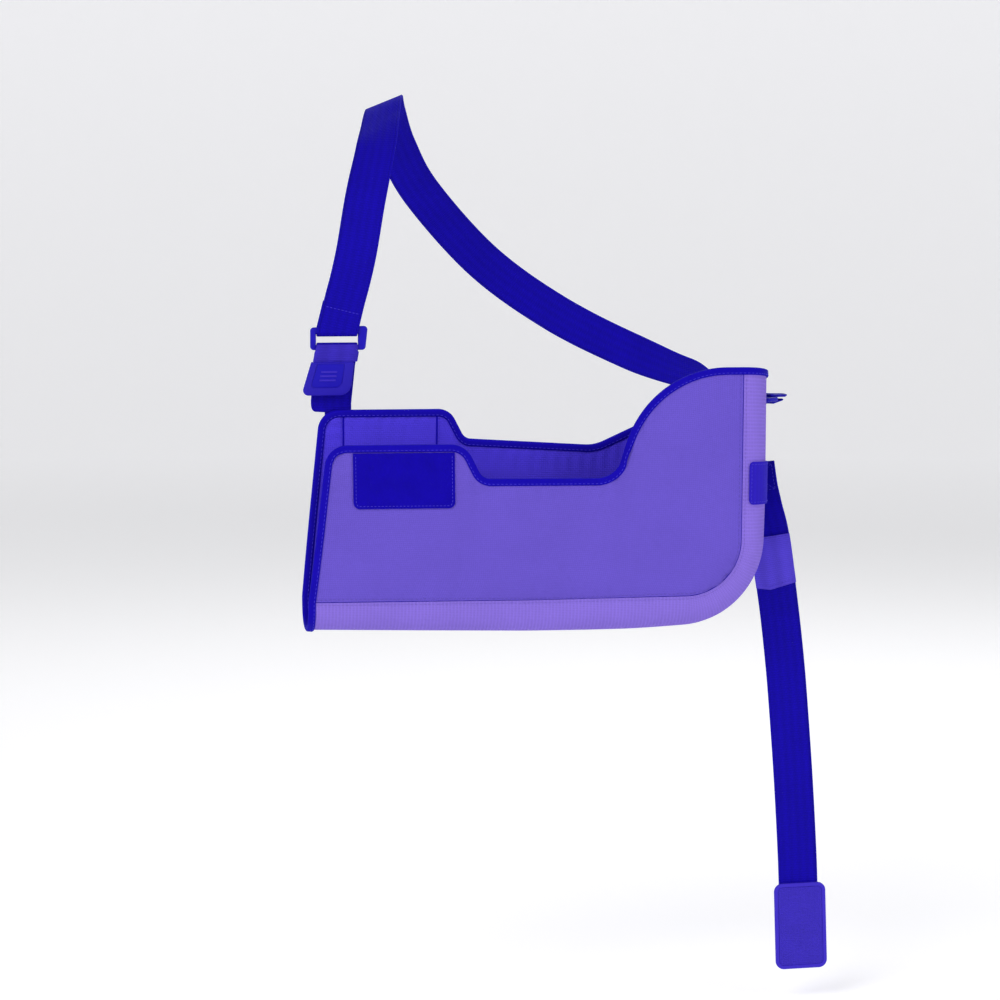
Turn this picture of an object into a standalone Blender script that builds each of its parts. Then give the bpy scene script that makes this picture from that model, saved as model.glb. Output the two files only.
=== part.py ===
"""An arm sling with a shoulder strap and a hanging waist strap, in metres, +Z up.

The forearm lies along X, hand at -X and elbow at +X, and the front panel faces -Y. The origin is the underside
of the shoulder strap where it passes over the top of the shoulder, so the sling hangs below it.
"""

import math
from collections import namedtuple

import bmesh
import bpy
from mathutils import Matrix, Vector
from mathutils.bvhtree import BVHTree
from mathutils.geometry import interpolate_bezier

MM = 0.001

# Cloth, webbing and clearances
WALL = 2.5 * MM
WEB_WIDTH = 38 * MM
WEB_THICK = 2 * MM
GAP = 0.3 * MM
SEAM_GAP = 0.8 * MM
PATCH_THICK = 1.5 * MM

# The pouch: where its hand end hangs under the shoulder, and its length, heights and depth
HAND_X = -87 * MM
POUCH_Y = -125 * MM
SEAM_Z = -458 * MM
POUCH_LENGTH = 402 * MM
CORNER_RADIUS = 52 * MM
FRONT_HEIGHT = 143 * MM
FRONT_DIP = 111 * MM
BACK_HEIGHT = 172 * MM
BACK_DIP = 136 * MM
ELBOW_HEIGHT = 213 * MM
ELBOW_REAR_DROP = 14 * MM
HALF_DEPTH = 46 * MM
BULGE = 34 * MM
BELLY = 9 * MM
BELLY_LOW = 0.65
BELLY_AT_HAND = 0.4
SEAM_RISE = 3 * MM
SEAM_LEAN = 2 * MM
GUSSET_SQUARENESS = 2.4
TOP_TURN = 0.16

# Edge binding, a folded tape on every free edge
BINDING_LEG = 5 * MM
BINDING_TAPE = 1 * MM
BINDING_CLEAR = 0.8 * MM

# Grip patch on the front panel
GRIP_LEFT = POUCH_LENGTH * 0.0995
GRIP_WIDTH = POUCH_LENGTH * 0.234
GRIP_HEIGHT = 51 * MM
GRIP_RADIUS = 6 * MM
GRIP_EDGE_CLEAR = 0.8 * MM
GRIP_SPANS = 8
PATCH_EASE = 0.5 * MM

# Buckle that joins the shoulder strap to the hanger strap
BUCKLE_X = -56 * MM
BUCKLE_Y = -102 * MM
BUCKLE_Z = -218.5 * MM
BAR_SPACING = 15.3 * MM
BAR = 4.4 * MM
BUCKLE_THICK = 4 * MM
BUCKLE_SLOT = 39 * MM
BUCKLE_LEFT = 5.5 * MM
BUCKLE_RIGHT = 9.5 * MM
BUCKLE_CHAMFER = 0.9 * MM
BUCKLE_RADIUS = 3.5 * MM
SLOT_RADIUS = 0.8 * MM
WRAP_SPANS = 8

# Hanger strap and the grip tab on its folded end
HANGER_DRIFT = 4.5 * MM
HANGER_LAP = 27 * MM
HOOK_TAB_TOP = 40 * MM
HOOK_TAB_FOOT = 45.5 * MM
HOOK_TAB_LENGTH = 32 * MM
HOOK_TAB_THICK = 2.5 * MM
HOOK_TAB_SHIFT = 4.5 * MM
HOOK_TAB_SWEEP = 6 * MM
HOOK_TAB_TOP_RADIUS = 1.5 * MM
HOOK_TAB_RIGHT_RADIUS = 11 * MM
HOOK_TAB_LEFT_RADIUS = 5 * MM
FOLD_DROP = 13 * MM
FOLD_LEAN = 0.205
FOLD_SLANT = 0.15
FOLD_EASE = 0.6 * MM
HANGER_NOTCH = 13 * MM
HANGER_ROUND = 4 * MM

# Shoulder strap: how far it runs down the chest, forward, back and across to the elbow
BODY_DEPTH = 110 * MM
ELBOW_REACH = 347 * MM
RING_BELOW_RIM = 34 * MM
RING_DROP = RING_BELOW_RIM - SEAM_Z - ELBOW_HEIGHT
STRAP_TAIL = 24 * MM
STRAP_SLANT = 0.25
STRAP_SPANS = 40

# Elbow ring and the webbing loop that holds it
RING_ANGLE = math.radians(148)
RING_SLOT = 39.5 * MM
RING_BAR = 4 * MM
RING_OPEN = 11 * MM
RING_STAND = 10 * MM
RING_LOOP_SPREAD = 19 * MM
RING_LOOP_TAIL = 9 * MM
RING_RADIUS = 4 * MM
RING_CHAMFER = 0.9 * MM
RING_TAIL = 16 * MM
RING_PINCH = WEB_THICK / 2 + GAP
LOOP_TURN = math.radians(75)

# Keeper patch, waist strap, its lighter sleeve and its end tab
KEEPER_BELOW_RIM = 86 * MM
KEEPER_TOP = KEEPER_BELOW_RIM - SEAM_Z - ELBOW_HEIGHT
KEEPER_HEIGHT = 40 * MM
KEEPER_START = math.radians(8.5)
KEEPER_END = math.radians(166)
KEEPER_RADIUS = 5 * MM
KEEPER_SPANS = 12
WAIST_ANGLE = math.radians(155)
WAIST_TOP = KEEPER_TOP + 7 * MM
WAIST_LENGTH = 430 * MM
WAIST_DRIFT = 45 * MM
WAIST_INSET = 2.6 * MM
WAIST_BACK = 5 * MM
WAIST_SPANS = 26
SLEEVE_START = 71 * MM
SLEEVE_LENGTH = 47 * MM
SLEEVE_POINT = 3.5 * MM
SLEEVE_POINT_AT = 0.66
SLEEVE_THICK = 1.5 * MM
SLEEVE_WIDER = 0.8 * MM
SLEEVE_SPANS = 5
TAB_WIDTH = 50 * MM
TAB_LENGTH = 83 * MM
TAB_THICK = 3 * MM
TAB_RADIUS = 8 * MM
TAB_LAP = 25 * MM

# Mesh density
ALONG = 34
UP = 10
ROUND = 8
BEND_SHARE = 0.035

# Colours
NAVY = (0.008, 0.002, 0.38)
VIOLET = (0.144, 0.089, 0.578)
INNER_BLUE = (0.047, 0.024, 0.468)
LILAC = (0.246, 0.15, 0.687)
TAB_BLUE = (0.058, 0.03, 0.479)
KEEPER_BLUE = (0.028, 0.016, 0.479)
SLEEVE_BLUE = (0.075, 0.042, 0.53)

Section = namedtuple("Section", "along half_depth bulge")
SECTIONS = (
    Section(0.00, 0.67, 0.78),
    Section(0.25, 0.72, 0.87),
    Section(0.50, 0.84, 0.93),
    Section(0.62, 0.93, 0.85),
    Section(0.70, 0.98, 0.78),
    Section(0.80, 1.00, 0.80),
    Section(1.00, 1.00, 0.79),
)

Lip = namedtuple("Lip", "along front back")
LIPS = (
    Lip(0.00, 0.62, 0.62),
    Lip(0.30, 0.66, 0.62),
    Lip(0.55, 0.80, 0.76),
    Lip(0.80, 0.96, 0.94),
    Lip(1.00, 1.00, 1.00),
)

# A corner of a panel's top line: its place and rounding as shares of the length, and its height as shares of
# the panel's height at the hand, of its dip and of the elbow's height
TopCorner = namedtuple("TopCorner", "along hand dip elbow radius")
FRONT_TOP = (
    TopCorner(0.044, 1.0, 0.0, 0.0, 0.0498),
    TopCorner(0.356, 1.0, 0.0, 0.0, 0.0498),
    TopCorner(0.396, 0.0, 1.0, 0.0, 0.0348),
    TopCorner(0.712, 0.0, 1.0, 0.0, 0.0647),
    TopCorner(0.774, 0.0, 0.0, 1.0, 0.2388),
    TopCorner(1.000, 0.0, 0.0, 1.0, 0.0),
)
BACK_TOP = (
    TopCorner(0.042, 1.0, 0.0, 0.0, 0.0448),
    TopCorner(0.338, 1.0, 0.0, 0.0, 0.0398),
    TopCorner(0.374, 0.0, 1.06, 0.0, 0.0299),
    TopCorner(0.688, 0.0, 1.0, 0.0, 0.0995),
    TopCorner(0.840, 0.0, 0.0, 0.82, 0.1493),
    TopCorner(0.925, 0.0, 0.0, 0.93, 0.0995),
    TopCorner(1.000, 0.0, 0.0, 1.0, 0.0),
)

# Shoulder strap route: shares of the elbow's reach, the body's depth and the ring's drop, and the way it faces
Route = namedtuple("Route", "side depth drop face_x face_y face_z")
CHEST_ROUTE = (
    Route(-0.141, -0.965, 0.652, 0.00, -1.00, 0.00),
    Route(-0.127, -0.985, 0.584, 0.00, -1.00, 0.02),
    Route(-0.109, -0.985, 0.484, -0.02, -1.00, 0.12),
    Route(-0.083, -0.890, 0.319, -0.08, -0.94, 0.34),
    Route(-0.046, -0.640, 0.150, -0.22, -0.72, 0.64),
    Route(-0.020, -0.310, 0.050, -0.34, -0.34, 0.88),
    Route(0.000, 0.000, -0.004, -0.38, 0.00, 0.92),
)
BACK_ROUTE = (
    Route(0.020, 0.330, 0.040, -0.30, 0.40, 0.86),
    Route(0.060, 0.650, 0.150, -0.16, 0.78, 0.60),
    Route(0.140, 0.900, 0.310, -0.04, 0.96, 0.28),
    Route(0.320, 1.060, 0.550, 0.04, 0.99, 0.12),
    Route(0.520, 1.000, 0.730, 0.14, 0.98, 0.12),
    Route(0.720, 0.780, 0.860, 0.36, 0.92, 0.16),
    Route(0.880, 0.420, 0.940, 0.60, 0.66, 0.44),
    Route(0.980, 0.000, 0.980, 0.46, 0.30, 0.84),
)

# Hanger strap's sewn end: places as shares of its lap, and how much of the notch and rounding is cut there
Foot = namedtuple("Foot", "up notch rounding")
HANGER_FOOT = (
    Foot(0.000, 1.0, 0.00),
    Foot(0.350, 1.0, 0.00),
    Foot(0.700, 1.0, 0.00),
    Foot(0.965, 1.0, 0.00),
    Foot(0.985, 0.0, 1.00),
    Foot(1.020, 0.0, 0.56),
    Foot(1.080, 0.0, 0.29),
    Foot(1.180, 0.0, 0.09),
    Foot(1.320, 0.0, 0.00),
)

# Waist strap route below its sewn end: shares of its length and drift, and how far it has turned forward
Hang = namedtuple("Hang", "down drift turned")
WAIST_ROUTE = (
    Hang(0.000, 0.00, 0.00),
    Hang(0.045, 0.06, 0.03),
    Hang(0.090, 0.14, 0.25),
    Hang(0.160, 0.30, 0.60),
    Hang(0.235, 0.41, 0.85),
    Hang(0.330, 0.54, 1.00),
    Hang(0.430, 0.65, 1.00),
    Hang(0.520, 0.73, 1.00),
    Hang(0.700, 0.86, 1.00),
    Hang(0.880, 0.96, 1.00),
    Hang(1.000, 1.00, 1.00),
)


def at_share(rows, column, share):
    """A column of a table read at a share of the way, on a smooth curve through its rows."""
    places = [row[0] for row in rows]
    values = [getattr(row, column) for row in rows]
    last = len(rows) - 1
    here = max(i for i in range(last) if places[i] <= max(share, places[0]))
    span = places[here + 1] - places[here]

    def slope(i):
        low, high = max(i - 1, 0), min(i + 1, last)
        return (values[high] - values[low]) / (places[high] - places[low]) * span

    t = (share - places[here]) / span
    near = (1 + 2 * t) * (1 - t) ** 2 * values[here] + t * (1 - t) ** 2 * slope(here)
    far = t * t * (3 - 2 * t) * values[here + 1] + t * t * (t - 1) * slope(here + 1)
    return near + far


def rounded_line(corners, closed=False, step=math.radians(12)):
    """The line through corners of (point, radius), with an arc at each corner that has a radius."""
    points = []
    for i, (corner, radius) in enumerate(corners):
        if radius == 0 or (not closed and i in (0, len(corners) - 1)):
            points.append(Vector(corner))
            continue
        corner = Vector(corner)
        before = (Vector(corners[i - 1][0]) - corner).normalized()
        after = (Vector(corners[(i + 1) % len(corners)][0]) - corner).normalized()
        half = before.angle(after) / 2
        centre = corner + (before + after).normalized() * radius / math.sin(half)
        first = corner + before * radius / math.tan(half) - centre
        last = corner + after * radius / math.tan(half) - centre
        sweep = math.pi - 2 * half
        steps = max(2, math.ceil(sweep / step))
        for k in range(steps + 1):
            turn = sweep * k / steps
            arm = first * math.sin(sweep - turn) + last * math.sin(turn)
            points.append(centre + arm / math.sin(sweep))
    return points


def spread(line, count, bend):
    """count + 1 points along a line, closer together where it turns."""
    reached = [0.0]
    for i in range(1, len(line)):
        run = line[i] - line[i - 1]
        turn = run.angle(line[i - 1] - line[i - 2]) if i > 1 else 0.0
        reached.append(reached[-1] + run.length + bend * turn)
    points = []
    here = 0
    for k in range(count + 1):
        wanted = reached[-1] * k / count
        while here < len(line) - 2 and reached[here + 1] < wanted:
            here += 1
        part = (wanted - reached[here]) / (reached[here + 1] - reached[here])
        points.append(line[here].lerp(line[here + 1], part))
    return points


def through(points, count):
    """count + 1 points on a smooth curve through the points given."""
    last = len(points) - 1
    slopes = []
    for i in range(last + 1):
        run = points[min(i + 1, last)] - points[max(i - 1, 0)]
        slopes.append(run / 2 if 0 < i < last else run)
    line = []
    for i in range(last):
        inner = interpolate_bezier(
            points[i], points[i] + slopes[i] / 3, points[i + 1] - slopes[i + 1] / 3, points[i + 1], 17
        )
        line += inner[:-1]
    return spread(line + [points[last]], count, 0.0)


def material(name, colour, roughness, metallic=0.0):
    made = bpy.data.materials.new(name)
    made.use_nodes = True
    shader = made.node_tree.nodes["Principled BSDF"]
    shader.inputs["Base Color"].default_value = (*colour, 1.0)
    shader.inputs["Roughness"].default_value = roughness
    shader.inputs["Metallic"].default_value = metallic
    made.diffuse_color = (*colour, 1.0)
    return made


def add_object(name, bm, colour, roughness=0.85, parent=None):
    """A named object of its own material from a bmesh, with its faces turned outwards."""
    bmesh.ops.recalc_face_normals(bm, faces=bm.faces)
    mesh = bpy.data.meshes.new(name)
    bm.to_mesh(mesh)
    bm.free()
    mesh.shade_smooth()
    mesh.set_sharp_from_angle(angle=math.radians(35))
    made = bpy.data.objects.new(name, mesh)
    made.data.materials.append(material(name, colour, roughness))
    bpy.context.scene.collection.objects.link(made)
    made.parent = parent
    return made


def sheet(name, grid, colour, thick, parent=None):
    """A cloth wall on a grid of points, half its thickness to each side."""
    bm = bmesh.new()
    rows = [[bm.verts.new(point) for point in row] for row in grid]
    for low, high in zip(rows, rows[1:]):
        for i in range(len(low) - 1):
            bm.faces.new((low[i], low[i + 1], high[i + 1], high[i]))
    made = add_object(name, bm, colour, parent=parent)
    wall = made.modifiers.new("wall", "SOLIDIFY")
    wall.thickness = thick
    wall.offset = 0
    wall.use_even_offset = True
    return made


def sweep(name, sections, colour, closed=False, roughness=0.85, parent=None):
    """A solid that joins rings of points one after another, in a loop or with an end face at each end."""
    bm = bmesh.new()
    rings = [[bm.verts.new(point) for point in section] for section in sections]
    pairs = list(zip(rings, rings[1:]))
    if closed:
        pairs.append((rings[-1], rings[0]))
    size = len(rings[0])
    for low, high in pairs:
        for i in range(size):
            bm.faces.new((low[i], low[(i + 1) % size], high[(i + 1) % size], high[i]))
    if not closed:
        bm.faces.new(rings[0])
        bm.faces.new(rings[-1])
    return add_object(name, bm, colour, roughness, parent)


def plate(name, outline, thick, place, colour, parent=None):
    """A flat plate with softened edges: an outline in its own plane, made thick and put in its place."""
    bm = bmesh.new()
    face = bm.faces.new([bm.verts.new((x, 0, z)) for x, z in outline])
    grown = bmesh.ops.extrude_face_region(bm, geom=[face])
    lifted = [item for item in grown["geom"] if isinstance(item, bmesh.types.BMVert)]
    bmesh.ops.translate(bm, vec=(0, thick, 0), verts=lifted)
    bmesh.ops.translate(bm, vec=(0, -thick / 2, 0), verts=bm.verts)
    bmesh.ops.recalc_face_normals(bm, faces=bm.faces)
    rims = [edge for edge in bm.edges if edge.calc_face_angle(0) > math.radians(60)]
    bmesh.ops.bevel(bm, geom=rims, offset=thick / 5, segments=1, affect="EDGES", profile=0.5, material=-1)
    bmesh.ops.transform(bm, matrix=place, verts=bm.verts)
    return add_object(name, bm, colour, 0.6, parent)


def strap_sections(centres, faces, width, thick, trims=None, points=None, point_at=0.5):
    """Flat sections of webbing along a route.

    trims cuts each station's two edges in. points moves the section on at point_at, a share of its width.
    """
    last = len(centres) - 1
    sections = []
    for i, (centre, face) in enumerate(zip(centres, faces)):
        along = (centres[min(i + 1, last)] - centres[max(i - 1, 0)]).normalized()
        across = along.cross(face).normalized()
        out = across.cross(along) * thick / 2
        left, right = trims[i] if trims else (0.0, 0.0)
        middle = along * points[i] if points else Vector((0, 0, 0))
        first = centre - across * (width / 2 - left)
        second = centre + across * (width / 2 - right)
        half = first.lerp(second, point_at) + middle
        sections.append((first - out, half - out, second - out, second + out, half + out, first + out))
    return sections


# Pouch seam, shared by the two panels and the gusset


def seam_line():
    """The seam from the hand end along the bottom, round the elbow's corner and up, as (x, z)."""
    elbow_x = HAND_X + POUCH_LENGTH
    corner = (elbow_x - SEAM_LEAN, SEAM_Z + SEAM_RISE)
    return rounded_line(
        (
            ((HAND_X, SEAM_Z), 0),
            ((HAND_X + POUCH_LENGTH * 0.5, SEAM_Z), POUCH_LENGTH * 2),
            (corner, CORNER_RADIUS),
            ((elbow_x, SEAM_Z + ELBOW_HEIGHT), 0),
        ),
        step=math.radians(5),
    )


def split_seam():
    """The seam in two runs that meet in the middle of the corner."""
    line = seam_line()
    middle = max(range(1, len(line) - 1), key=lambda i: line[i].x - line[i].y)
    bend = POUCH_LENGTH * BEND_SHARE
    return spread(line[: middle + 1], ALONG, bend), spread(line[middle:], UP, bend)


BOTTOM, SIDE = split_seam()
STATIONS = BOTTOM + SIDE[1:]


def seam_shares():
    reached = [0.0]
    for a, b in zip(STATIONS, STATIONS[1:]):
        reached.append(reached[-1] + (b - a).length)
    return [value / reached[-1] for value in reached]


SHARES = seam_shares()


def rear_fall(z):
    """How much lower the rear seam ends: nothing below, the whole drop at the elbow's rim."""
    share = (z - SEAM_Z) / ELBOW_HEIGHT
    return ELBOW_REAR_DROP * max(0.0, share) ** 2


def gusset_point(station, angle, lift=0.0):
    """A point of the gusset's middle surface: angle 0 at the front seam, pi at the rear one."""
    low = min(int(station), len(STATIONS) - 2)
    part = station - low
    place = STATIONS[low].lerp(STATIONS[low + 1], part)
    share = SHARES[low] + (SHARES[low + 1] - SHARES[low]) * part
    before = STATIONS[max(low - 1, 0) if part < 0.5 else low]
    after = STATIONS[min(low + 2, len(STATIONS) - 1) if part > 0.5 else low + 1]
    along = (after - before).normalized()
    outward = Vector((along.y, -along.x))
    power = 2 / GUSSET_SQUARENESS
    half_depth = HALF_DEPTH * at_share(SECTIONS, "half_depth", share)
    bulge = BULGE * at_share(SECTIONS, "bulge", share)
    cosine, sine = math.cos(angle), max(0.0, math.sin(angle))
    deep = -math.copysign(abs(cosine) ** power, cosine)
    flat = place + outward * (SEAM_GAP / 2 + bulge * sine**power)
    fall = rear_fall(place.y) * (1 + deep) / 2
    point = Vector((flat.x, POUCH_Y + half_depth * deep, flat.y - fall))
    if lift:
        normal = Vector((outward.x * sine / bulge, deep / half_depth, outward.y * sine / bulge)).normalized()
        point += normal * lift
    return point


def station_at_height(z):
    """Where along the seam the elbow's side reaches a height."""
    for i in range(ALONG, len(STATIONS) - 1):
        if STATIONS[i + 1].y >= z:
            return i + (z - STATIONS[i].y) / (STATIONS[i + 1].y - STATIONS[i].y)
    return len(STATIONS) - 1


def gusset_grid():
    return [[gusset_point(i, math.pi * k / ROUND) for k in range(ROUND + 1)] for i in range(len(STATIONS))]


def top_line(corners, height, dip, elbow):
    """A panel's hand edge from the seam up and its top edge to the elbow, as two runs of points."""
    line = [((HAND_X, SEAM_Z), 0)]
    for row in corners:
        rise = row.hand * height + row.dip * dip + row.elbow * elbow
        line.append(((HAND_X + POUCH_LENGTH * row.along, SEAM_Z + rise), POUCH_LENGTH * row.radius))
    points = rounded_line(line, step=math.radians(10))
    turn = next(i for i, point in enumerate(points) if point.x - points[0].x > (point.y - points[0].y) * TOP_TURN)
    bend = POUCH_LENGTH * BEND_SHARE
    return spread(points[: turn + 1], UP, bend), spread(points[turn:], ALONG, bend)


def panel_grid(corners, height, dip, elbow, lip, side):
    """A panel's middle surface between its seam, hand edge and top edge; side is -1 in front and 1 behind."""
    edge, top = top_line(corners, height, dip, elbow)
    seam_depths = [HALF_DEPTH * at_share(SECTIONS, "half_depth", share) for share in SHARES]
    lip_depths = [HALF_DEPTH * at_share(LIPS, lip, i / ALONG) for i in range(ALONG + 1)]

    def deep(flat, half_depth):
        return Vector((flat.x, POUCH_Y + side * half_depth, flat.y))

    def fallen(flat):
        return Vector((flat.x, flat.y - rear_fall(flat.y))) if side > 0 else flat

    inward = []
    for i, place in enumerate(STATIONS):
        along = (STATIONS[min(i + 1, len(STATIONS) - 1)] - STATIONS[max(i - 1, 0)]).normalized()
        inward.append(Vector((-along.y, along.x)) * SEAM_GAP / 2)
    seam = [deep(fallen(place + inward[i]), seam_depths[i]) for i, place in enumerate(STATIONS)]
    bottom, right = seam[: ALONG + 1], seam[ALONG:]
    upper = [deep(flat, depth) for flat, depth in zip(top, lip_depths)]
    hand_depths = [seam_depths[0] + (lip_depths[0] - seam_depths[0]) * j / UP for j in range(UP + 1)]
    left = [deep(flat, depth) for flat, depth in zip(edge, hand_depths)]
    left[0], upper[0], upper[-1] = bottom[0], left[-1], right[-1]
    grid = []
    for i in range(ALONG + 1):
        u = i / ALONG
        row = []
        for j in range(UP + 1):
            v = j / UP
            ruled = bottom[i].lerp(upper[i], v) + left[j].lerp(right[j], u)
            corner = bottom[0].lerp(bottom[-1], u).lerp(upper[0].lerp(upper[-1], u), v)
            point = ruled - corner
            low = v**BELLY_LOW
            along = (1 - u**4) * (BELLY_AT_HAND + (1 - BELLY_AT_HAND) * u)
            swell = BELLY * along * (4 * low * (1 - low)) ** 2
            point.y += side * swell
            row.append(point)
        grid.append(row)
    return grid


# Pieces of the pouch


def rim_stations(front, back, gusset):
    """Every point of the pouch's free edge in order, each with a neighbour further into the cloth."""
    rim = [(gusset[0][k], gusset[1][k]) for k in range(ROUND + 1)]
    rim += [(back[0][j], back[1][j]) for j in range(1, UP)]
    rim += [(back[i][UP], back[min(i + 1, ALONG) if i == 0 else i][UP - 1]) for i in range(ALONG)]
    rim += [(gusset[-1][k], gusset[-2][k]) for k in range(ROUND, -1, -1)]
    rim += [(front[i][UP], front[min(i + 1, ALONG) if i == 0 else i][UP - 1]) for i in range(ALONG - 1, -1, -1)]
    rim += [(front[0][j], front[1][j]) for j in range(UP - 1, 0, -1)]
    return rim


def edge_binding(front, back, gusset, parent):
    """A folded tape over the free edge, of U section, in one loop."""
    rim = rim_stations(front, back, gusset)
    inner = WALL / 2 + BINDING_CLEAR
    outer = inner + BINDING_TAPE
    fold = -BINDING_CLEAR
    profile = (
        (BINDING_LEG, inner),
        (fold, inner),
        (fold, -inner),
        (BINDING_LEG, -inner),
        (BINDING_LEG, -outer),
        (fold - BINDING_TAPE, -outer),
        (fold - BINDING_TAPE, outer),
        (BINDING_LEG, outer),
    )
    sections = []
    facets = []
    for i, (edge, neighbour) in enumerate(rim):
        next_edge, next_neighbour = rim[(i + 1) % len(rim)]
        facets.append((next_edge - neighbour).cross(edge - next_neighbour).normalized())
    for i, (edge, neighbour) in enumerate(rim):
        along = (rim[(i + 1) % len(rim)][0] - rim[i - 1][0]).normalized()
        out = (facets[i] + facets[i - 1]).normalized()
        into = out.cross(along).normalized()
        if into.dot(neighbour - edge) < 0:
            into, out = -into, -out
        sections.append([edge + into * a + out * b for a, b in profile])
    return sweep("edge_binding", sections, NAVY, closed=True, parent=parent)


def surface_of(grid):
    """The tree that finds where a line meets a grid's surface."""
    points = [point for row in grid for point in row]
    wide = len(grid[0])
    faces = []
    for i in range(len(grid) - 1):
        for j in range(wide - 1):
            a = i * wide + j
            faces.append((a, a + 1, a + wide + 1, a + wide))
    return BVHTree.FromPolygons(points, faces)


def surface_y(tree, x, z):
    found = tree.ray_cast(Vector((x, POUCH_Y * 4, z)), Vector((0, 1, 0)))[0]
    return found.y


def grip_patch(front, parent):
    """The patch that the waist strap's end grips, lying on the front panel under its binding."""
    tree = surface_of(front)
    left = HAND_X + GRIP_LEFT
    top = SEAM_Z + FRONT_HEIGHT - BINDING_LEG - GRIP_EDGE_CLEAR
    lift = WALL / 2 + GAP + PATCH_EASE + PATCH_THICK / 2
    lows = [0.0, 0.18, 0.5, 1.0]
    heights = [GRIP_RADIUS * low for low in lows]
    rest = GRIP_HEIGHT - GRIP_RADIUS
    heights += [GRIP_RADIUS + rest * k / 4 for k in range(1, 5)]
    grid = []
    for height in heights:
        missing = max(0.0, GRIP_RADIUS - height)
        inset = GRIP_RADIUS - math.sqrt(GRIP_RADIUS**2 - missing**2)
        width = GRIP_WIDTH - 2 * inset
        z = top - GRIP_HEIGHT + height
        row = []
        for k in range(GRIP_SPANS + 1):
            x = left + inset + width * k / GRIP_SPANS
            row.append(Vector((x, surface_y(tree, x, z) - lift, z)))
        grid.append(row)
    return sheet("grip_patch", grid, NAVY, PATCH_THICK, parent)


# Straps, buckle and tabs


def bar_wrap(centre, radius, start, end, count):
    """Points round a bar that lies along X, by angle from -Y (0) over the top (90 degrees)."""
    points = []
    for k in range(count + 1):
        angle = start + (end - start) * k / count
        points.append(centre + Vector((0, -math.cos(angle), math.sin(angle))) * radius)
    return points


def outward_from(points, centre):
    faces = []
    for point in points:
        away = point - centre
        faces.append(Vector((0, away.y, away.z)).normalized())
    return faces


WRAP_RADIUS = BUCKLE_THICK / 2 + 3 * GAP + WEB_THICK / 2


def chamfered(low, high, thin, cut):
    """A bar's section as (across, through) pairs, with its four corners cut."""
    half = thin / 2
    return (
        (low + cut, -half),
        (high - cut, -half),
        (high, -half + cut),
        (high, half - cut),
        (high - cut, half),
        (low + cut, half),
        (low, half - cut),
        (low, -half + cut),
    )


def slot_ring(name, left, right, low, high, slot_left, slot_right, slot_low, slot_high, radius, slot_radius, frame,
              thick, cut, colour, parent):
    """A flat ring: a rounded outline and a rounded slot in it, given its thickness with chamfered edges."""
    outer = ((left, low), (right, low), (right, high), (left, high))
    inner = ((slot_left, slot_low), (slot_right, slot_low), (slot_right, slot_high), (slot_left, slot_high))
    outer_line = rounded_line([(point, radius) for point in outer], closed=True, step=math.radians(31))
    inner_line = rounded_line([(point, slot_radius) for point in inner], closed=True, step=math.radians(31))
    sections = []
    for far, near in zip(outer_line, inner_line):
        away = far - near
        length = away.length
        away.normalize()
        section = []
        for across, deep in chamfered(0.0, length, thick, cut):
            flat = near + away * across
            section.append(frame @ Vector((flat.x, deep, flat.y)))
        sections.append(section)
    return sweep(name, sections, colour, closed=True, roughness=0.45, parent=parent)


def strap_buckle(parent):
    slot_high = BAR_SPACING / 2 - BAR / 2
    slot_half = BUCKLE_SLOT / 2
    return slot_ring(
        "strap_buckle",
        -slot_half - BUCKLE_LEFT, slot_half + BUCKLE_RIGHT, -slot_high - BAR, slot_high + BAR,
        -slot_half, slot_half, -slot_high, slot_high,
        BUCKLE_RADIUS, SLOT_RADIUS,
        Matrix.Translation((BUCKLE_X, BUCKLE_Y, BUCKLE_Z)),
        BUCKLE_THICK, BUCKLE_CHAMFER, NAVY, parent,
    )


def fold_point(share):
    """The middle of the hanger's folded end at a share of the fold's drop below the buckle's lower bar."""
    drop = FOLD_DROP * share
    back_off = FOLD_EASE + (drop - FOLD_DROP * 0.6) * FOLD_LEAN
    y = BUCKLE_Y - WRAP_RADIUS + back_off
    return Vector((BUCKLE_X - drop * FOLD_SLANT, y, BUCKLE_Z - BAR_SPACING / 2 - drop))


def hanger_strap(back, parent):
    """Webbing from behind the back panel's corner, up through the buckle and down in front."""
    bar = Vector((BUCKLE_X, BUCKLE_Y, BUCKLE_Z - BAR_SPACING / 2))
    tree = surface_of(back)
    foot_x = BUCKLE_X - HANGER_DRIFT
    panel_top = SEAM_Z + BACK_HEIGHT
    sewn = [panel_top - HANGER_LAP * share for share in (0.4, 0.7, 1.0)]
    clear = WALL / 2 + BINDING_CLEAR + BINDING_TAPE + GAP + WEB_THICK / 2
    columns = (foot_x, foot_x + WEB_WIDTH / 4, foot_x + WEB_WIDTH / 2)
    foot_y = clear + max(surface_y(tree, x, z) for z in sewn for x in columns)
    low = panel_top - HANGER_LAP
    route = [Vector((foot_x, foot_y, low + HANGER_LAP * row.up)) for row in HANGER_FOOT]
    wrap = bar_wrap(bar, WRAP_RADIUS, math.pi, 0, WRAP_SPANS)
    route.append(route[-1].lerp(wrap[0], 0.5))
    route += wrap
    route += [fold_point(share) for share in (0.6, 1.2, 1.8)]
    behind = Vector((0, 1, 0))
    folded = Vector((0, -1, -FOLD_LEAN)).normalized()
    faces = [behind] * (len(HANGER_FOOT) + 1) + outward_from(wrap, bar) + [folded] * 3
    trims = [(0.0, 0.0)] * len(route)
    for i, row in enumerate(HANGER_FOOT):
        trims[i] = (0.0, HANGER_NOTCH * row.notch + HANGER_ROUND * row.rounding)
    sections = strap_sections(route, faces, WEB_WIDTH, WEB_THICK, trims)
    return sweep("hanger_strap", sections, NAVY, parent=parent)


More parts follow.
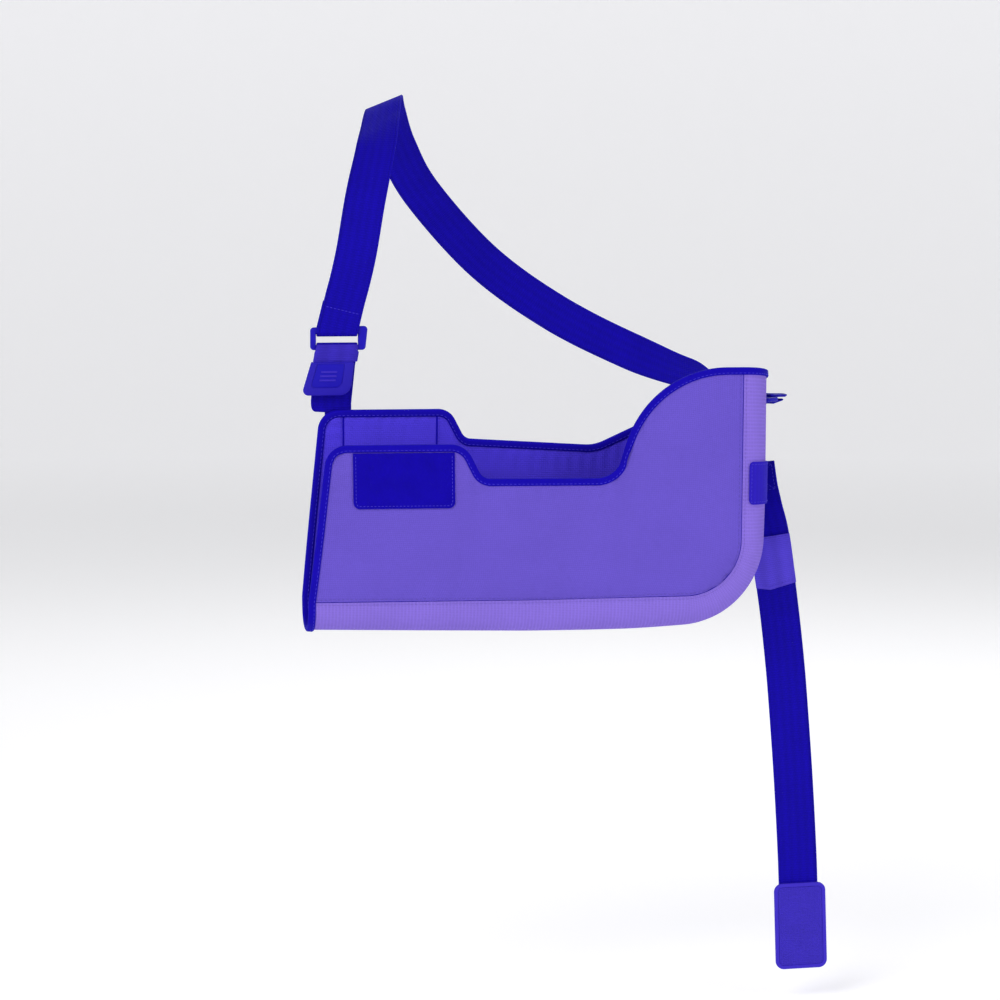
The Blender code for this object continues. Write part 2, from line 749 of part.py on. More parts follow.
def hook_tab(parent):
    """The moulded tab on the hanger strap's folded end."""
    half_top, half_foot = HOOK_TAB_TOP / 2, HOOK_TAB_FOOT / 2
    outline = rounded_line(
        (
            ((-half_top, 0), HOOK_TAB_TOP_RADIUS),
            ((half_top, 0), HOOK_TAB_TOP_RADIUS),
            ((half_foot - HOOK_TAB_SWEEP, -HOOK_TAB_LENGTH), HOOK_TAB_RIGHT_RADIUS),
            ((-half_foot - HOOK_TAB_SWEEP, -HOOK_TAB_LENGTH), HOOK_TAB_LEFT_RADIUS),
        ),
        closed=True,
        step=math.radians(20),
    )
    fold = fold_point(1.0)
    deep = WEB_THICK / 2 + 1.5 * GAP + HOOK_TAB_THICK / 2
    top = Vector((BUCKLE_X - HOOK_TAB_SHIFT, fold.y - deep, fold.z))
    place = Matrix.Translation(top) @ Matrix.Rotation(math.atan(FOLD_LEAN), 4, "X")
    return plate("hook_tab", outline, HOOK_TAB_THICK, place, TAB_BLUE, parent)


def route_points(rows):
    """The centres and faces of a route table."""
    centres = [Vector((ELBOW_REACH * r.side, BODY_DEPTH * r.depth, -RING_DROP * r.drop)) for r in rows]
    faces = [Vector((r.face_x, r.face_y, r.face_z)).normalized() for r in rows]
    return centres, faces


def ring_frame():
    """The elbow ring's own axes on the gusset: across the webbing, along it and up, from the ring's middle."""
    station = station_at_height(-RING_DROP)
    seat = gusset_point(station, RING_ANGLE, WALL / 2)
    beside = gusset_point(station, RING_ANGLE - 0.1, WALL / 2) - gusset_point(station, RING_ANGLE + 0.1, WALL / 2)
    across = Vector((beside.x, beside.y, 0)).normalized()
    outward = Vector((-across.y, across.x, 0))
    frame = Matrix((across, outward, (0, 0, 1))).transposed().to_4x4()
    return Matrix.Translation(Vector((seat.x, seat.y, -RING_DROP))) @ frame


RING_WRAP = RING_BAR / 2 + 2 * GAP + WEB_THICK / 2


def elbow_ring(parent):
    """A plain slot ring that lies flat, sticking out behind the elbow."""
    middle = RING_STAND + RING_BAR / 2 + RING_OPEN / 2
    half = RING_OPEN / 2
    turned = ring_frame() @ Matrix.Translation((0, middle, 0)) @ Matrix.Rotation(math.radians(90), 4, "X")
    slot = RING_SLOT / 2
    return slot_ring(
        "elbow_ring",
        -slot - RING_BAR, slot + RING_BAR, -half - RING_BAR, half + RING_BAR,
        -slot, slot, -half, half,
        RING_RADIUS, SLOT_RADIUS,
        turned, RING_BAR, RING_CHAMFER, NAVY, parent,
    )


def ring_loop(parent):
    """A short piece of webbing sewn to the elbow and folded round the ring's near bar."""
    frame = ring_frame()
    near = WEB_THICK / 2 + GAP
    half = RING_LOOP_SPREAD / 2
    rise = [(near, -half - RING_LOOP_TAIL), (near, -half)]
    bar = RING_STAND
    wrap = [LOOP_TURN * (k / 3 - 1) for k in range(7)]
    rise += [(bar + RING_WRAP * math.cos(angle), RING_WRAP * math.sin(angle)) for angle in wrap]
    rise += [(near, half * 0.8), (near, half + RING_LOOP_TAIL * 0.45)]
    centres = [frame @ Vector((0, out, up)) for out, up in rise]
    spine = [Vector((out, up)) for out, up in rise]
    faces = []
    for i in range(len(spine)):
        along = spine[min(i + 1, len(spine) - 1)] - spine[max(i - 1, 0)]
        faces.append(frame.to_3x3() @ Vector((0, along.y, -along.x)).normalized())
    sections = strap_sections(centres, faces, WEB_WIDTH, WEB_THICK)
    return sweep("ring_loop", sections, NAVY, parent=parent)


def shoulder_strap(parent):
    """Webbing from the buckle up the chest, over the shoulder and across the back to the elbow ring."""
    bar = Vector((BUCKLE_X, BUCKLE_Y, BUCKLE_Z + BAR_SPACING / 2))
    wrap = bar_wrap(bar, WRAP_RADIUS, math.pi, 2 * math.pi, WRAP_SPANS)
    tail = [bar + Vector((rise * STRAP_SLANT, WRAP_RADIUS, rise)) for rise in (STRAP_TAIL, STRAP_TAIL / 2)]
    frame = ring_frame()
    far_bar = RING_STAND + RING_BAR + RING_OPEN
    ring_wrap = []
    ring_faces = []
    for k in range(WRAP_SPANS + 1):
        angle = math.pi * (0.5 - k / WRAP_SPANS)
        local = Vector((0, far_bar - RING_WRAP * math.cos(angle), RING_WRAP * math.sin(angle)))
        ring_wrap.append(frame @ local)
        ring_faces.append(frame.to_3x3() @ Vector((0, -math.cos(angle), math.sin(angle))))
    tail_low = (RING_WRAP + RING_PINCH) / 2
    ring_tail = [
        frame @ Vector((0, far_bar + RING_TAIL / 2, -tail_low)),
        frame @ Vector((0, far_bar + RING_TAIL, -RING_PINCH)),
    ]
    centres, faces = route_points(CHEST_ROUTE + BACK_ROUTE)
    leaving = frame @ Vector((0, far_bar + RING_TAIL, tail_low))
    centres = [wrap[-1]] + centres + [leaving, ring_wrap[0]]
    faces = [Vector((0, -1, 0))] + faces + [Vector((0, 0, 1)), Vector((0, 0, 1))]
    middle = through(centres, STRAP_SPANS)
    middle_faces = [nearest_face(point, centres, faces) for point in middle]
    route = tail + wrap[:-1] + middle[:-1] + ring_wrap + ring_tail
    below = Vector((0, 0, -1))
    all_faces = [Vector((0, 1, 0))] * 2 + outward_from(wrap[:-1], bar)
    all_faces += middle_faces[:-1] + ring_faces + [below] * 2
    sections = strap_sections(route, all_faces, WEB_WIDTH, WEB_THICK)
    return sweep("shoulder_strap", sections, NAVY, parent=parent)


def nearest_face(point, centres, faces):
    """The way the webbing looks at a point of its route, between the two stations beside it."""
    best = min(range(len(centres) - 1), key=lambda i: off_segment(point, centres[i], centres[i + 1]))
    run = centres[best + 1] - centres[best]
    part = min(1.0, max(0.0, (point - centres[best]).dot(run) / run.length_squared))
    return faces[best].lerp(faces[best + 1], part * part * (3 - 2 * part)).normalized()


def off_segment(point, start, end):
    run = end - start
    part = min(1.0, max(0.0, (point - start).dot(run) / run.length_squared))
    return (start + run * part - point).length


def strap_keeper(parent):
    """The patch that wraps the elbow's side and carries the waist strap's sewn end."""
    lift = WALL / 2 + GAP + PATCH_EASE / 2 + PATCH_THICK / 2
    grid = []
    for k in range(KEEPER_SPANS + 1):
        angle = KEEPER_START + (KEEPER_END - KEEPER_START) * k / KEEPER_SPANS
        inset = (KEEPER_RADIUS, KEEPER_RADIUS * 0.2)[k] if k < 2 else 0.0
        row = []
        for j in range(5):
            z = -KEEPER_TOP - inset - (KEEPER_HEIGHT - 2 * inset) * j / 4
            row.append(gusset_point(station_at_height(z), angle, lift))
        grid.append(row)
    return sheet("strap_keeper", grid, KEEPER_BLUE, PATCH_THICK, parent)


def waist_stations():
    """Centres and faces of the waist strap, from its sewn end on the keeper down to its tab."""
    station = station_at_height(-WAIST_TOP - KEEPER_HEIGHT / 2)
    lift = WALL / 2 + 3 * GAP + PATCH_THICK + WEB_THICK / 2
    seat = gusset_point(station, WAIST_ANGLE, lift)
    beside = gusset_point(station, WAIST_ANGLE - 0.1, lift) - gusset_point(station, WAIST_ANGLE + 0.1, lift)
    across = Vector((beside.x, beside.y, 0)).normalized()
    start = seat + across * (WEB_WIDTH / 2 - WAIST_INSET)
    centres = []
    faces = []
    for row in WAIST_ROUTE:
        side = across.lerp(Vector((1, 0, 0)), row.turned).normalized()
        x = start.x + WAIST_DRIFT * row.drift
        y = start.y + WAIST_BACK * row.turned
        centres.append(Vector((x, y, -WAIST_TOP - WAIST_LENGTH * row.down)))
        faces.append(Vector((side.y, -side.x, 0)))
    middle = through(centres, WAIST_SPANS)
    return middle, [nearest_face(point, centres, faces) for point in middle]


def waist_strap(stations, parent):
    centres, faces = stations
    sections = strap_sections(centres, faces, WEB_WIDTH, WEB_THICK)
    return sweep("waist_strap", sections, NAVY, parent=parent)


def strap_sleeve(stations, parent):
    """The lighter piece stitched on the waist strap's front, with a shallow point at its foot."""
    centres, faces = stations
    lift = WEB_THICK / 2 + GAP + SLEEVE_THICK / 2
    top = -WAIST_TOP - SLEEVE_START
    heights = [top - SLEEVE_LENGTH * k / SLEEVE_SPANS for k in range(SLEEVE_SPANS + 1)]
    points = []
    looks = []
    for z in heights:
        i = next(i for i in range(1, len(centres)) if centres[i].z <= z)
        part = (z - centres[i - 1].z) / (centres[i].z - centres[i - 1].z)
        look = faces[i - 1].lerp(faces[i], part).normalized()
        points.append(centres[i - 1].lerp(centres[i], part) + look * lift)
        looks.append(look)
    pointed = [0.0] * SLEEVE_SPANS + [SLEEVE_POINT]
    sections = strap_sections(points, looks, WEB_WIDTH + SLEEVE_WIDER, SLEEVE_THICK, None, pointed, SLEEVE_POINT_AT)
    return sweep("strap_sleeve", sections, SLEEVE_BLUE, parent=parent)


def waist_end_tab(stations, parent):
    """The grip tab on the waist strap's free end."""
    centres, _ = stations
    half = TAB_WIDTH / 2
    corners = ((-half, 0), (half, 0), (half, -TAB_LENGTH), (-half, -TAB_LENGTH))
    outline = rounded_line([(corner, TAB_RADIUS) for corner in corners], closed=True, step=math.radians(16))
    run = centres[-1] - centres[-3]
    slant = math.atan2(run.x, -run.z)
    deep = WEB_THICK / 2 + GAP + TAB_THICK / 2
    top = centres[-1] + Vector((0, -deep, TAB_LAP))
    place = Matrix.Translation(top) @ Matrix.Rotation(-slant, 4, "Y")
    return plate("waist_end_tab", outline, TAB_THICK, place, TAB_BLUE, parent)


def clear_scene():
    for old in list(bpy.data.objects):
        bpy.data.objects.remove(old, do_unlink=True)


def build():
    clear_scene()
    sling = bpy.data.objects.new("sling", None)
    bpy.context.scene.collection.objects.link(sling)
    front = panel_grid(FRONT_TOP, FRONT_HEIGHT, FRONT_DIP, ELBOW_HEIGHT, "front", -1)
    back = panel_grid(BACK_TOP, BACK_HEIGHT, BACK_DIP, ELBOW_HEIGHT - ELBOW_REAR_DROP, "back", 1)
    gusset = gusset_grid()
    sheet("front_panel", front, VIOLET, WALL, sling)
    sheet("back_panel", back, INNER_BLUE, WALL, sling)
    sheet("gusset", gusset, LILAC, WALL, sling)
    edge_binding(front, back, gusset, sling)
    grip_patch(front, sling)
    hanger_strap(back, sling)
    strap_buckle(sling)
    hook_tab(sling)
    shoulder_strap(sling)
    elbow_ring(sling)
    ring_loop(sling)
    strap_keeper(sling)
    stations = waist_stations()
    waist_strap(stations, sling)
    strap_sleeve(stations, sling)
    waist_end_tab(stations, sling)


build()
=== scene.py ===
"""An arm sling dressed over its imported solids: padded cloth, bound edges, webbing, buckles and stitching."""

import math
from collections import namedtuple
from itertools import accumulate

import bmesh
import bpy
from mathutils import Matrix, Vector
from mathutils.bvhtree import BVHTree
from mathutils.geometry import interpolate_bezier


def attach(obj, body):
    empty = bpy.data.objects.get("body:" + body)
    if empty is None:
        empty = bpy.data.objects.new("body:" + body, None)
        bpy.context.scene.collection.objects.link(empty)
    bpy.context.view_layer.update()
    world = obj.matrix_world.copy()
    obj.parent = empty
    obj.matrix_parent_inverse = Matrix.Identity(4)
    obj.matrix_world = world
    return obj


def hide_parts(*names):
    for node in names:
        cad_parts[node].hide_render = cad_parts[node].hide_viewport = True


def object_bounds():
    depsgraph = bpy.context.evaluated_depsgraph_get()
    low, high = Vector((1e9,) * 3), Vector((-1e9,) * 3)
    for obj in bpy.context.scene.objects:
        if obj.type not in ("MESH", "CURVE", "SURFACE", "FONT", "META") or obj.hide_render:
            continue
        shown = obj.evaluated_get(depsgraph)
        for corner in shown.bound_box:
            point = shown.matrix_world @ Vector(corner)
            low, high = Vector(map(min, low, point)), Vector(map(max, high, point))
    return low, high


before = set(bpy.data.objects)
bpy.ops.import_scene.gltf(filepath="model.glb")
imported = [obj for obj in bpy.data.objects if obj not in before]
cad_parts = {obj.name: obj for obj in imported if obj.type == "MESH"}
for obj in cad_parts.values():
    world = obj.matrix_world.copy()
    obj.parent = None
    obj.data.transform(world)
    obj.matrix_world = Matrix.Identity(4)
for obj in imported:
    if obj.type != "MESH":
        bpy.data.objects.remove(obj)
cad_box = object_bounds()

MM = 0.001

# Cloth, webbing and clearances, as the solids have them
WALL = 2.5 * MM
WEB_WIDTH = 38 * MM
WEB_THICK = 2 * MM
GAP = 0.3 * MM
SEAM_GAP = 0.8 * MM
PATCH_THICK = 1.5 * MM

# The pouch
HAND_X = -87 * MM
POUCH_Y = -125 * MM
SEAM_Z = -458 * MM
POUCH_LENGTH = 402 * MM
CORNER_RADIUS = 52 * MM
FRONT_HEIGHT = 143 * MM
FRONT_DIP = 111 * MM
BACK_HEIGHT = 172 * MM
BACK_DIP = 136 * MM
ELBOW_HEIGHT = 213 * MM
ELBOW_REAR_DROP = 14 * MM
HALF_DEPTH = 46 * MM
BULGE = 34 * MM
BELLY = 9 * MM
BELLY_LOW = 0.65
BELLY_AT_HAND = 0.4
SEAM_RISE = 3 * MM
SEAM_LEAN = 2 * MM
TOP_TURN = 0.16
GUSSET_SQUARENESS = 2.4

# Edge binding
BINDING_LEG = 5 * MM
BINDING_TAPE = 1 * MM
BINDING_CLEAR = 0.8 * MM
BINDING_ROUND = 1.6 * MM
BINDING_HEM = 0.15 * MM

# Grip patch
GRIP_LEFT = 40 * MM
GRIP_WIDTH = 94 * MM
GRIP_HEIGHT = 51 * MM
GRIP_RADIUS = 6 * MM
GRIP_EDGE_CLEAR = 0.8 * MM
PATCH_EASE = 0.5 * MM

# Buckle between the shoulder strap and the hanger strap
BUCKLE_X = -56 * MM
BUCKLE_Y = -102 * MM
BUCKLE_Z = -218.5 * MM
BAR_SPACING = 15.3 * MM
BAR = 4.4 * MM
BUCKLE_THICK = 4 * MM
BUCKLE_SLOT = 39 * MM
BUCKLE_LEFT = 5.5 * MM
BUCKLE_RIGHT = 9.5 * MM
BUCKLE_RIGHT_LOBE = 2.8 * MM
BUCKLE_LEFT_LOBE = 1.5 * MM
BUCKLE_NARROW = 2.5 * MM
BUCKLE_RADIUS = 3.5 * MM
SLOT_RADIUS = 0.8 * MM
WRAP_RADIUS = BUCKLE_THICK / 2 + 3 * GAP + WEB_THICK / 2

# Hanger strap and the tab on its folded end
HANGER_DRIFT = 4.5 * MM
HANGER_LAP = 27 * MM
HANGER_NOTCH = 13 * MM
HANGER_ROUND = 4 * MM
HOOK_TAB_TOP = 40 * MM
HOOK_TAB_FOOT = 45.5 * MM
HOOK_TAB_LENGTH = 32 * MM
HOOK_TAB_THICK = 2.5 * MM
HOOK_TAB_SHIFT = 4.5 * MM
HOOK_TAB_SWEEP = 6 * MM
HOOK_TAB_TOP_RADIUS = 1.5 * MM
HOOK_TAB_RIGHT_RADIUS = 11 * MM
HOOK_TAB_LEFT_RADIUS = 5 * MM
FOLD_DROP = 13 * MM
FOLD_LEAN = 0.205
FOLD_SLANT = 0.15
FOLD_EASE = 0.6 * MM
FOLD_BAND_WIDTH = 41 * MM
FOLD_BAND_THICK = 3.2 * MM

# Shoulder strap
BODY_DEPTH = 110 * MM
ELBOW_REACH = 347 * MM
RING_DROP = 279 * MM
STRAP_TAIL = 24 * MM
STRAP_SLANT = 0.25

# Elbow ring and its loop
RING_ANGLE = math.radians(148)
RING_SLOT = 39.5 * MM
RING_BAR = 4 * MM
RING_OPEN = 11 * MM
RING_STAND = 10 * MM
RING_RADIUS = 4 * MM
RING_TAIL = 16 * MM
RING_PINCH = WEB_THICK / 2 + GAP
RING_LOOP_SPREAD = 19 * MM
RING_LOOP_TAIL = 9 * MM
LOOP_TURN = math.radians(75)
RING_WRAP = RING_BAR / 2 + 2 * GAP + WEB_THICK / 2

# Keeper patch, waist strap, its lighter sleeve and its end tab
KEEPER_TOP = 331 * MM
KEEPER_HEIGHT = 40 * MM
KEEPER_START = math.radians(8.5)
KEEPER_END = math.radians(166)
KEEPER_RADIUS = 5 * MM
KEEPER_LENGTH = 112 * MM
WAIST_ANGLE = math.radians(155)
WAIST_TOP = 338 * MM
WAIST_LENGTH = 430 * MM
WAIST_DRIFT = 45 * MM
WAIST_INSET = 2.6 * MM
WAIST_BACK = 5 * MM
SLEEVE_START = 71 * MM
SLEEVE_LENGTH = 47 * MM
SLEEVE_POINT = 3.5 * MM
SLEEVE_POINT_AT = 0.16
SLEEVE_THICK = 1.5 * MM
SLEEVE_WIDER = 0.8 * MM
TAB_WIDTH = 50 * MM
TAB_LENGTH = 83 * MM
TAB_THICK = 3 * MM
TAB_RADIUS = 8 * MM
TAB_RIM = 3.4 * MM
TAB_LAP = 25 * MM

# Fineness of the dressed surfaces
ALONG = 230
UP = 70
ROUND = 36
BEND_SHARE = 0.035

Section = namedtuple("Section", "along half_depth bulge")
SECTIONS = (
    Section(0.00, 0.67, 0.78),
    Section(0.25, 0.72, 0.87),
    Section(0.50, 0.84, 0.93),
    Section(0.62, 0.93, 0.85),
    Section(0.70, 0.98, 0.78),
    Section(0.80, 1.00, 0.80),
    Section(1.00, 1.00, 0.79),
)

Lip = namedtuple("Lip", "along front back")
LIPS = (
    Lip(0.00, 0.62, 0.62),
    Lip(0.30, 0.66, 0.62),
    Lip(0.55, 0.80, 0.76),
    Lip(0.80, 0.96, 0.94),
    Lip(1.00, 1.00, 1.00),
)

TopCorner = namedtuple("TopCorner", "along hand dip elbow radius")
FRONT_TOP = (
    TopCorner(0.044, 1.0, 0.0, 0.0, 0.0498),
    TopCorner(0.356, 1.0, 0.0, 0.0, 0.0498),
    TopCorner(0.396, 0.0, 1.0, 0.0, 0.0348),
    TopCorner(0.712, 0.0, 1.0, 0.0, 0.0647),
    TopCorner(0.774, 0.0, 0.0, 1.0, 0.2388),
    TopCorner(1.000, 0.0, 0.0, 1.0, 0.0),
)
BACK_TOP = (
    TopCorner(0.042, 1.0, 0.0, 0.0, 0.0448),
    TopCorner(0.338, 1.0, 0.0, 0.0, 0.0398),
    TopCorner(0.374, 0.0, 1.06, 0.0, 0.0299),
    TopCorner(0.688, 0.0, 1.0, 0.0, 0.0995),
    TopCorner(0.840, 0.0, 0.0, 0.82, 0.1493),
    TopCorner(0.925, 0.0, 0.0, 0.93, 0.0995),
    TopCorner(1.000, 0.0, 0.0, 1.0, 0.0),
)

Route = namedtuple("Route", "side depth drop face_x face_y face_z")
STRAP_ROUTE = (
    Route(-0.141, -0.965, 0.652, 0.00, -1.00, 0.00),
    Route(-0.127, -0.985, 0.584, 0.00, -1.00, 0.02),
    Route(-0.109, -0.985, 0.484, -0.02, -1.00, 0.12),
    Route(-0.083, -0.890, 0.319, -0.08, -0.94, 0.34),
    Route(-0.046, -0.640, 0.150, -0.22, -0.72, 0.64),
    Route(-0.020, -0.310, 0.050, -0.34, -0.34, 0.88),
    Route(0.000, 0.000, -0.004, -0.38, 0.00, 0.92),
    Route(0.020, 0.330, 0.040, -0.30, 0.40, 0.86),
    Route(0.060, 0.650, 0.150, -0.16, 0.78, 0.60),
    Route(0.140, 0.900, 0.310, -0.04, 0.96, 0.28),
    Route(0.320, 1.060, 0.550, 0.04, 0.99, 0.12),
    Route(0.520, 1.000, 0.730, 0.14, 0.98, 0.12),
    Route(0.720, 0.780, 0.860, 0.36, 0.92, 0.16),
    Route(0.880, 0.420, 0.940, 0.60, 0.66, 0.44),
    Route(0.980, 0.000, 0.980, 0.46, 0.30, 0.84),
)

Foot = namedtuple("Foot", "up notch rounding")
HANGER_FOOT = (
    Foot(0.000, 1.0, 0.00),
    Foot(0.350, 1.0, 0.00),
    Foot(0.700, 1.0, 0.00),
    Foot(0.965, 1.0, 0.00),
    Foot(0.985, 0.0, 1.00),
    Foot(1.000, 0.0, 0.76),
    Foot(1.020, 0.0, 0.56),
    Foot(1.048, 0.0, 0.40),
    Foot(1.080, 0.0, 0.29),
    Foot(1.125, 0.0, 0.17),
    Foot(1.180, 0.0, 0.09),
    Foot(1.240, 0.0, 0.03),
    Foot(1.320, 0.0, 0.00),
)

Hang = namedtuple("Hang", "down drift turned")
WAIST_ROUTE = (
    Hang(0.000, 0.00, 0.00),
    Hang(0.045, 0.06, 0.03),
    Hang(0.090, 0.14, 0.25),
    Hang(0.160, 0.30, 0.60),
    Hang(0.235, 0.41, 0.85),
    Hang(0.330, 0.54, 1.00),
    Hang(0.430, 0.65, 1.00),
    Hang(0.520, 0.73, 1.00),
    Hang(0.700, 0.86, 1.00),
    Hang(0.880, 0.96, 1.00),
    Hang(1.000, 1.00, 1.00),
)

# Soft folds of the walls: both ends as shares of the pouch's length and height, and the size in millimetres
Fold = namedtuple("Fold", "x z far_x far_z wide deep")
FRONT_FOLDS = (
    Fold(0.34, 0.40, 0.64, 0.24, 11.0, 2.0),
    Fold(0.70, 0.48, 0.94, 0.22, 13.0, -2.2),
    Fold(0.76, 0.66, 0.95, 0.54, 11.0, 1.7),
    Fold(0.06, 0.30, 0.24, 0.10, 10.0, -1.5),
    Fold(0.46, 0.16, 0.68, 0.10, 9.0, 1.4),
)
BACK_FOLDS = (
    Fold(0.12, 0.58, 0.34, 0.34, 14.0, -1.2),
    Fold(0.44, 0.40, 0.66, 0.20, 15.0, 1.2),
    Fold(0.72, 0.56, 0.92, 0.30, 15.0, -1.3),
)
FOLD_QUIET = 14 * MM
PUCKER_REACH = 8 * MM
PUCKER_DEEP = 0.5 * MM
PUCKER_PITCH = 13 * MM

# Welts inside the back wall
WELT_LEFT = -49.7 * MM
WELT_RIGHT = 38.1 * MM
WELT_DROP = 66 * MM
WELT_WIDTH = 1.7 * MM
WELT_THICK = 0.6 * MM
WELT_STITCH_OFF = 1.4 * MM

# Sunk fields of the two tabs, with the thin inlay on their floor
FIELD_DEEP = 0.6 * MM
FIELD_SLOPE = 0.35 * MM
INLAY_CLEAR = 0.6 * MM
INLAY_THICK = 0.4 * MM
INLAY_EDGE = 0.12 * MM
TAB_EDGE_SHARE = 0.25

# The hook tab's field: each corner's place, the ways to the field's middle and its radius, in millimetres
HOOK_FIELD = (
    (-14.5, -1.2, 1, -1, 1.0),
    (11.5, -1.2, -1, -1, 1.0),
    (8.8, -24.8, -1, 1, 7.0),
    (-20.6, -24.8, 1, 1, 3.0),
)

# Grip ribs on the hook tab, from the top one down
RIBS = 3
RIB_TOP = -9.2 * MM
RIB_PITCH = 4 * MM
RIB_MIDDLE = -3.2 * MM
RIB_SWEEP = 0.7 * MM
RIB_HALF_LENGTH = 7.5 * MM
RIB_HALF_HEIGHT = 0.8 * MM
RIB_PROUD = 1.1 * MM
RIB_SEAT = 0.25 * MM
RIB_EDGE = 0.3 * MM

# Stitching
STITCH_INSET = 2.4 * MM
STITCH_PITCH = 3.6 * MM
CLOSE_PITCH = 3.2 * MM
SEAM_PITCH = 4 * MM
STITCH_LENGTH = 2.6 * MM
SHORT_STITCH = 2.4 * MM
PATCH_PITCH = 3.4 * MM
SEAM_STITCH = 3 * MM
THREAD_THICK = 0.6 * MM
SEAM_THREAD_THICK = 0.7 * MM
THREAD_LIFT = 0.1 * MM
THREAD_SINK = 0.05 * MM
CORD_SHARE = 0.56
WEB_ROW = WEB_WIDTH / 2 - 3 * MM
KEEPER_ROW_END = 0.97

# Weaves, and the pitch of the painted sheen bands on padded cloth
CLOTH_PITCH = 1.8 * MM
KEEPER_PITCH = 1.2 * MM
MESH_PITCH = 3.2 * MM
WEB_PITCH = 1.3 * MM
ELASTIC_PITCH = 1 * MM
TAPE_RIB = 1.1 * MM
HOOK_PITCH = 1.7 * MM
SHEEN_STRIPE_PITCH = 4.6 * MM
SELVEDGE_INNER = 2.4 * MM
SELVEDGE_OUTER = 1.7 * MM

FORWARD = Vector((0, -1, 0))
BACKWARD = Vector((0, 1, 0))
UPWARD = Vector((0, 0, 1))

# Colours
NAVY = (0.0065, 0.001, 0.385)
PILE_NAVY = (0.007, 0.001, 0.43)
VIOLET = (0.138, 0.0885, 0.572)
INNER_BLUE = (0.08, 0.047, 0.76)
LILAC = (0.252, 0.163, 0.715)
TAB_BLUE = (0.037, 0.0185, 0.47)
FOLD_TAB_BLUE = (0.016, 0.007, 0.38)
KEEPER_BLUE = (0.025, 0.0105, 0.52)
SLEEVE_BLUE = (0.104, 0.066, 0.71)
FOLD_BLUE = (0.044, 0.026, 0.5)
THREAD_BLUE = (0.05, 0.032, 0.56)


# Finishes


def arithmetic(operation, swapped=False):
    """An operator's method, which adds a maths node."""

    def apply(self, other):
        return self.finish.maths(operation, *((other, self) if swapped else (self, other)))

    return apply


class Reading:
    """A node's output, so that shader maths reads as arithmetic."""

    def __init__(self, finish, socket):
        self.finish = finish
        self.socket = socket

    __add__ = arithmetic("ADD")
    __radd__ = arithmetic("ADD", True)
    __sub__ = arithmetic("SUBTRACT")
    __rsub__ = arithmetic("SUBTRACT", True)
    __mul__ = arithmetic("MULTIPLY")
    __rmul__ = arithmetic("MULTIPLY", True)
    __pow__ = arithmetic("POWER")
    __gt__ = arithmetic("GREATER_THAN")
    __lt__ = arithmetic("LESS_THAN")


class Finish:
    """One material, with its nodes."""

    def __init__(self, name, roughness, sheen=0.0, tint=(1.0, 1.0, 1.0), gloss=0.12):
        self.material = bpy.data.materials.new(name)
        self.material.use_nodes = True
        self.tree = self.material.node_tree
        self.surface = self.tree.nodes["Principled BSDF"]
        self.surface.inputs["Roughness"].default_value = roughness
        self.surface.inputs["Sheen Weight"].default_value = sheen
        self.surface.inputs["Sheen Roughness"].default_value = 0.5
        self.surface.inputs["Sheen Tint"].default_value = (*tint, 1.0)
        self.surface.inputs["Specular IOR Level"].default_value = gloss

    def put(self, socket, value):
        if isinstance(value, Reading):
            self.tree.links.new(value.socket, socket)
        elif isinstance(value, tuple) and len(value) == 3 and socket.type == "RGBA":
            socket.default_value = (*value, 1.0)
        else:
            socket.default_value = value

    def node(self, kind, settings=None, values=None, output=0):
        made = self.tree.nodes.new(kind)
        for key, value in (settings or {}).items():
            setattr(made, key, value)
        for key, value in (values or {}).items():
            self.put(made.inputs[key], value)
        return Reading(self, made.outputs[output])

    def maths(self, operation, first, second=0.0):
        return self.node("ShaderNodeMath", {"operation": operation}, {0: first, 1: second})

    def sine(self, value):
        return self.maths("SINE", value)

    def size(self, value):
        return self.maths("ABSOLUTE", value)

    def cloth_place(self):
        """The two lengths of the piece's own UV map, in metres."""
        place = self.node("ShaderNodeUVMap", {"uv_map": "cloth"})
        return self.split(place)[:2]

    def object_place(self):
        return self.node("ShaderNodeTexCoord", output=3)

    def split(self, place):
        parts = self.node("ShaderNodeSeparateXYZ", values={0: place}).socket.node
        return [Reading(self, parts.outputs[i]) for i in range(3)]

    def noise(self, scale, detail=2.0, roughness=0.5):
        values = {"Vector": self.object_place(), "Scale": scale, "Detail": detail, "Roughness": roughness}
        return self.node("ShaderNodeTexNoise", None, values)

    def blend(self, share, first, second):
        settings = {"data_type": "RGBA"}
        return self.node("ShaderNodeMix", settings, {0: share, 6: first, 7: second}, output=2)

    def bump(self, height, distance, strength=1.0):
        values = {"Strength": strength, "Distance": distance, "Height": height}
        self.put(self.surface.inputs["Normal"], self.node("ShaderNodeBump", None, values))

    def colour(self, value):
        self.put(self.surface.inputs["Base Color"], value)

    def tones(self, share, colour, dark, light):
        """A colour that runs from a darker to a lighter shade of itself."""
        return self.blend(share, shade(colour, dark), shade(colour, light))


def shade(colour, factor):
    return tuple(min(1.0, part * factor) for part in colour)


def weave_height(finish, across, along, pitch_across, pitch_along):
    """A plain weave: threads that run along and across take turns on top."""
    a = finish.sine(across * (math.pi / pitch_across))
    b = finish.sine(along * (math.pi / pitch_along))
    over = (a * b) > 0.0
    warp = finish.size(a) * (0.65 + 0.35 * finish.size(b))
    weft = finish.size(b) * (0.65 + 0.35 * finish.size(a))
    return weft + over * (warp - weft)


